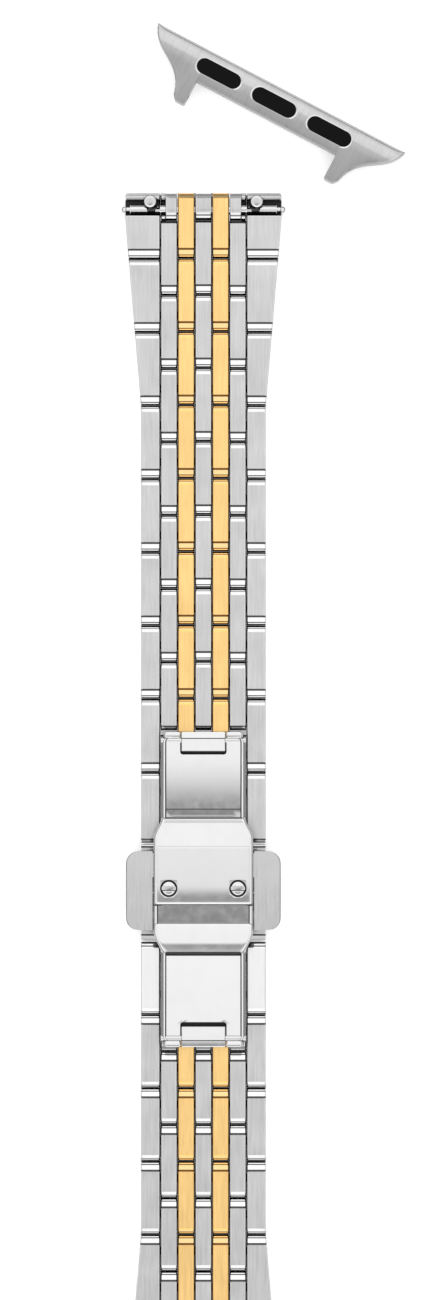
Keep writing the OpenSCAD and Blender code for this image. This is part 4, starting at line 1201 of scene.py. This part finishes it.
def adapter(half):
    node = f"adapter_{half}"
    place = adapter_place(half)
    half_l = ADAPTER_L / 2
    inner = [(x, 0) for x in (0, 2, 4, 6, 8, LUG_HALF - 0.25, LUG_HALF - 0.01)]
    inner += [
        (LUG_HALF, -HORN_L + 0.08), (LUG_HALF + 0.08, -HORN_L), (HORN_X - HORN_SLANT[0], -HORN_L),
        (HORN_X - HORN_SLANT[0] / 2, -HORN_L + HORN_SLANT[1] / 2),
    ]
    inner += [(min(x, half_l - 0.03), min(y, ADAPTER_D - 0.14)) for x, y in flank_table()]
    rings = []
    for x, low in [(-x, y) for x, y in reversed(inner)] + inner[1:]:
        width = ADAPTER_D - low
        r = min(1.1, 0.55 * width)
        e = min(0.16, 0.3 * width)
        tall = LINK_T - 0.10 - 0.25 * max(0.0, 1 - width / 2.0)
        points = [(low, 0.12), (low, tall - e), (low + e * 0.3, tall - e * 0.3), (low + e, tall)]
        for share, rise in CROWN:
            points.append((low + e + (width - e - 0.5 * r) * share, tall + rise * min(1.0, width / 3)))
        for k, (c, s) in enumerate(arc(6)[1:], 1):
            points.append((ADAPTER_D - 0.5 * r * (1 - s), tall - r * (1 - c) - 0.01 * k))
        points += [
            (ADAPTER_D, min(1.0, r)), (ADAPTER_D - 0.4 * r, 0.25), (ADAPTER_D - r, 0.02),
            (low + min(0.1, 0.2 * width), 0.02),
        ]
        rings.append([place(x, y, z) for y, z in points])
    body = skin(node, rings, lambda i, j: "flat", HOLDER[half], node, ("flat", "flat"), 35)
    cuts = []
    for s in (-1, 0, 1):
        cuts.append(flared(body, stadium(s, PAD_GAP), place))
    for s in (-1, 1):
        hole = circle(-BAR_EDGE, LINK_T / 2, 0.5, 24)
        cuts.append(prism(body, hole, s * (LUG_HALF - 0.5), s * (LUG_HALF + 1.1),
                          place=lambda a, b, c: place(c, a, b)))
    carve(body, cuts)
    # The middle pad is the catch
    for s in (-1, 1, 0):
        owner = f"adapter_pads_{half}" if s else f"adapter_catch_{half}"
        pillow(f"{owner}_{s + 1}", stadium(s), 0.55 if s else 1.0, 2.55, 0.10, RUBBER, owner, place)


for half_name in ROWS:
    end_pieces(half_name)
    spring_bar(half_name)
    adapter(half_name)


def dress_hinge_pins():
    """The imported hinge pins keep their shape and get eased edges."""
    piece = frame["nodes"]["hinge_pins"]
    mesh = piece.data
    mesh.materials.clear()
    mesh.materials.append(BAR)
    modify(piece, "WELD", merge_threshold=0.000002)
    modify(piece, "DECIMATE", decimate_type="DISSOLVE", angle_limit=radians(1), delimit={"MATERIAL"})
    modify(piece, "BEVEL", width=0.08 * MM, segments=2, limit_method="ANGLE", angle_limit=radians(35))
    modify(piece, "WEIGHTED_NORMAL")
    mesh.shade_smooth()


dress_hinge_pins()


# Studio

FLOOR_HALF, FLOOR_Z = 3.0, -0.00003
# Brightness of the studio's dome by angle from straight up, in degrees
TOWARDS_UPPER = [
    (0, 1.32), (5, 1.38), (12, 1.33), (20, 1.34), (28, 1.55), (35, 1.75), (46, 1.7), (56, 1.0), (66, 0.45),
    (78, 0.5), (90, 0.9),
]
TOWARDS_LOWER = [
    (0, 1.32), (5, 1.33), (9, 1.0), (13, 0.45), (18, 0.5), (25, 1.2), (34, 1.75), (46, 1.7), (56, 1.0),
    (66, 0.45), (78, 0.5), (90, 0.9),
]
SIDEWAYS = [(0, 1.32), (10, 1.3), (25, 1.5), (42, 1.3), (56, 0.7), (66, 0.35), (78, 0.35), (90, 0.7)]
DOME_PEAK = 3.0
# The photograph's frame: 435 by 1300 pixels at this many millimetres each
PIXEL = 0.1266
FRAME_H = 1300 * PIXEL
VIEW_X, VIEW_Y = 1.785, 30.26
LENS, SENSOR = 135.0, 36.0


def stage_floor():
    mesh = bpy.data.meshes.new("floor")
    corners = ((-1, -1), (1, -1), (1, 1), (-1, 1))
    mesh.from_pydata([(x * FLOOR_HALF, y * FLOOR_HALF, FLOOR_Z) for x, y in corners], [], [(0, 1, 2, 3)])
    floor = bpy.data.objects.new("floor", mesh)
    bpy.context.scene.collection.objects.link(floor)
    material, _, _ = new_material(
        "floor_pale", Base_Color=(0.85, 0.85, 0.85, 1), Emission_Color=(1, 1, 1, 1), Emission_Strength=0.40,
        Roughness=0.9, Specular_IOR_Level=0.0,
    )
    mesh.materials.append(material)


def studio_dome():
    world = bpy.data.worlds.new("studio")
    bpy.context.scene.world = world
    world.use_nodes = True
    tree = world.node_tree
    place = node_of(tree, "ShaderNodeTexCoord").outputs["Generated"]
    x, y, z = node_of(tree, "ShaderNodeSeparateXYZ", in_Vector=place).outputs
    angle = maths(tree, "DIVIDE", maths(tree, "ARCCOSINE", maths(tree, "MAXIMUM", z, 0.0)), pi / 2)
    squares = [maths(tree, "MULTIPLY", value, value) for value in (x, y)]
    flat = maths(tree, "MAXIMUM", maths(tree, "ADD", *squares), 1e-6)
    behind = maths(tree, "MULTIPLY", y, -1.0)
    parts = []
    for table, side in (
        (TOWARDS_UPPER, maths(tree, "MAXIMUM", y, 0.0)), (TOWARDS_LOWER, maths(tree, "MAXIMUM", behind, 0.0)),
        (SIDEWAYS, x),
    ):
        weight = maths(tree, "DIVIDE", maths(tree, "MULTIPLY", side, side), flat)
        levels = [(degrees / 90, level / DOME_PEAK) for degrees, level in table]
        parts.append(maths(tree, "MULTIPLY", ramp(tree, levels, angle, "LINEAR"), weight))
    total = maths(tree, "ADD", maths(tree, "ADD", *parts[:2]), parts[2])
    light = tree.nodes["Background"]
    light.inputs["Color"].default_value = (1, 1, 1, 1)
    tree.links.new(maths(tree, "MULTIPLY", total, DOME_PEAK), light.inputs["Strength"])


def camera():
    data = bpy.data.cameras.new("camera")
    data.lens = LENS
    data.sensor_width = SENSOR
    data.clip_start, data.clip_end = 0.01, 10
    eye = bpy.data.objects.new("camera", data)
    bpy.context.scene.collection.objects.link(eye)
    distance = FRAME_H * LENS / SENSOR
    eye.location = Vector((VIEW_X, VIEW_Y, distance + LINK_T)) * MM
    bpy.context.scene.camera = eye


stage_floor()
studio_dome()
camera()
bpy.context.scene.view_settings.view_transform = "Standard"
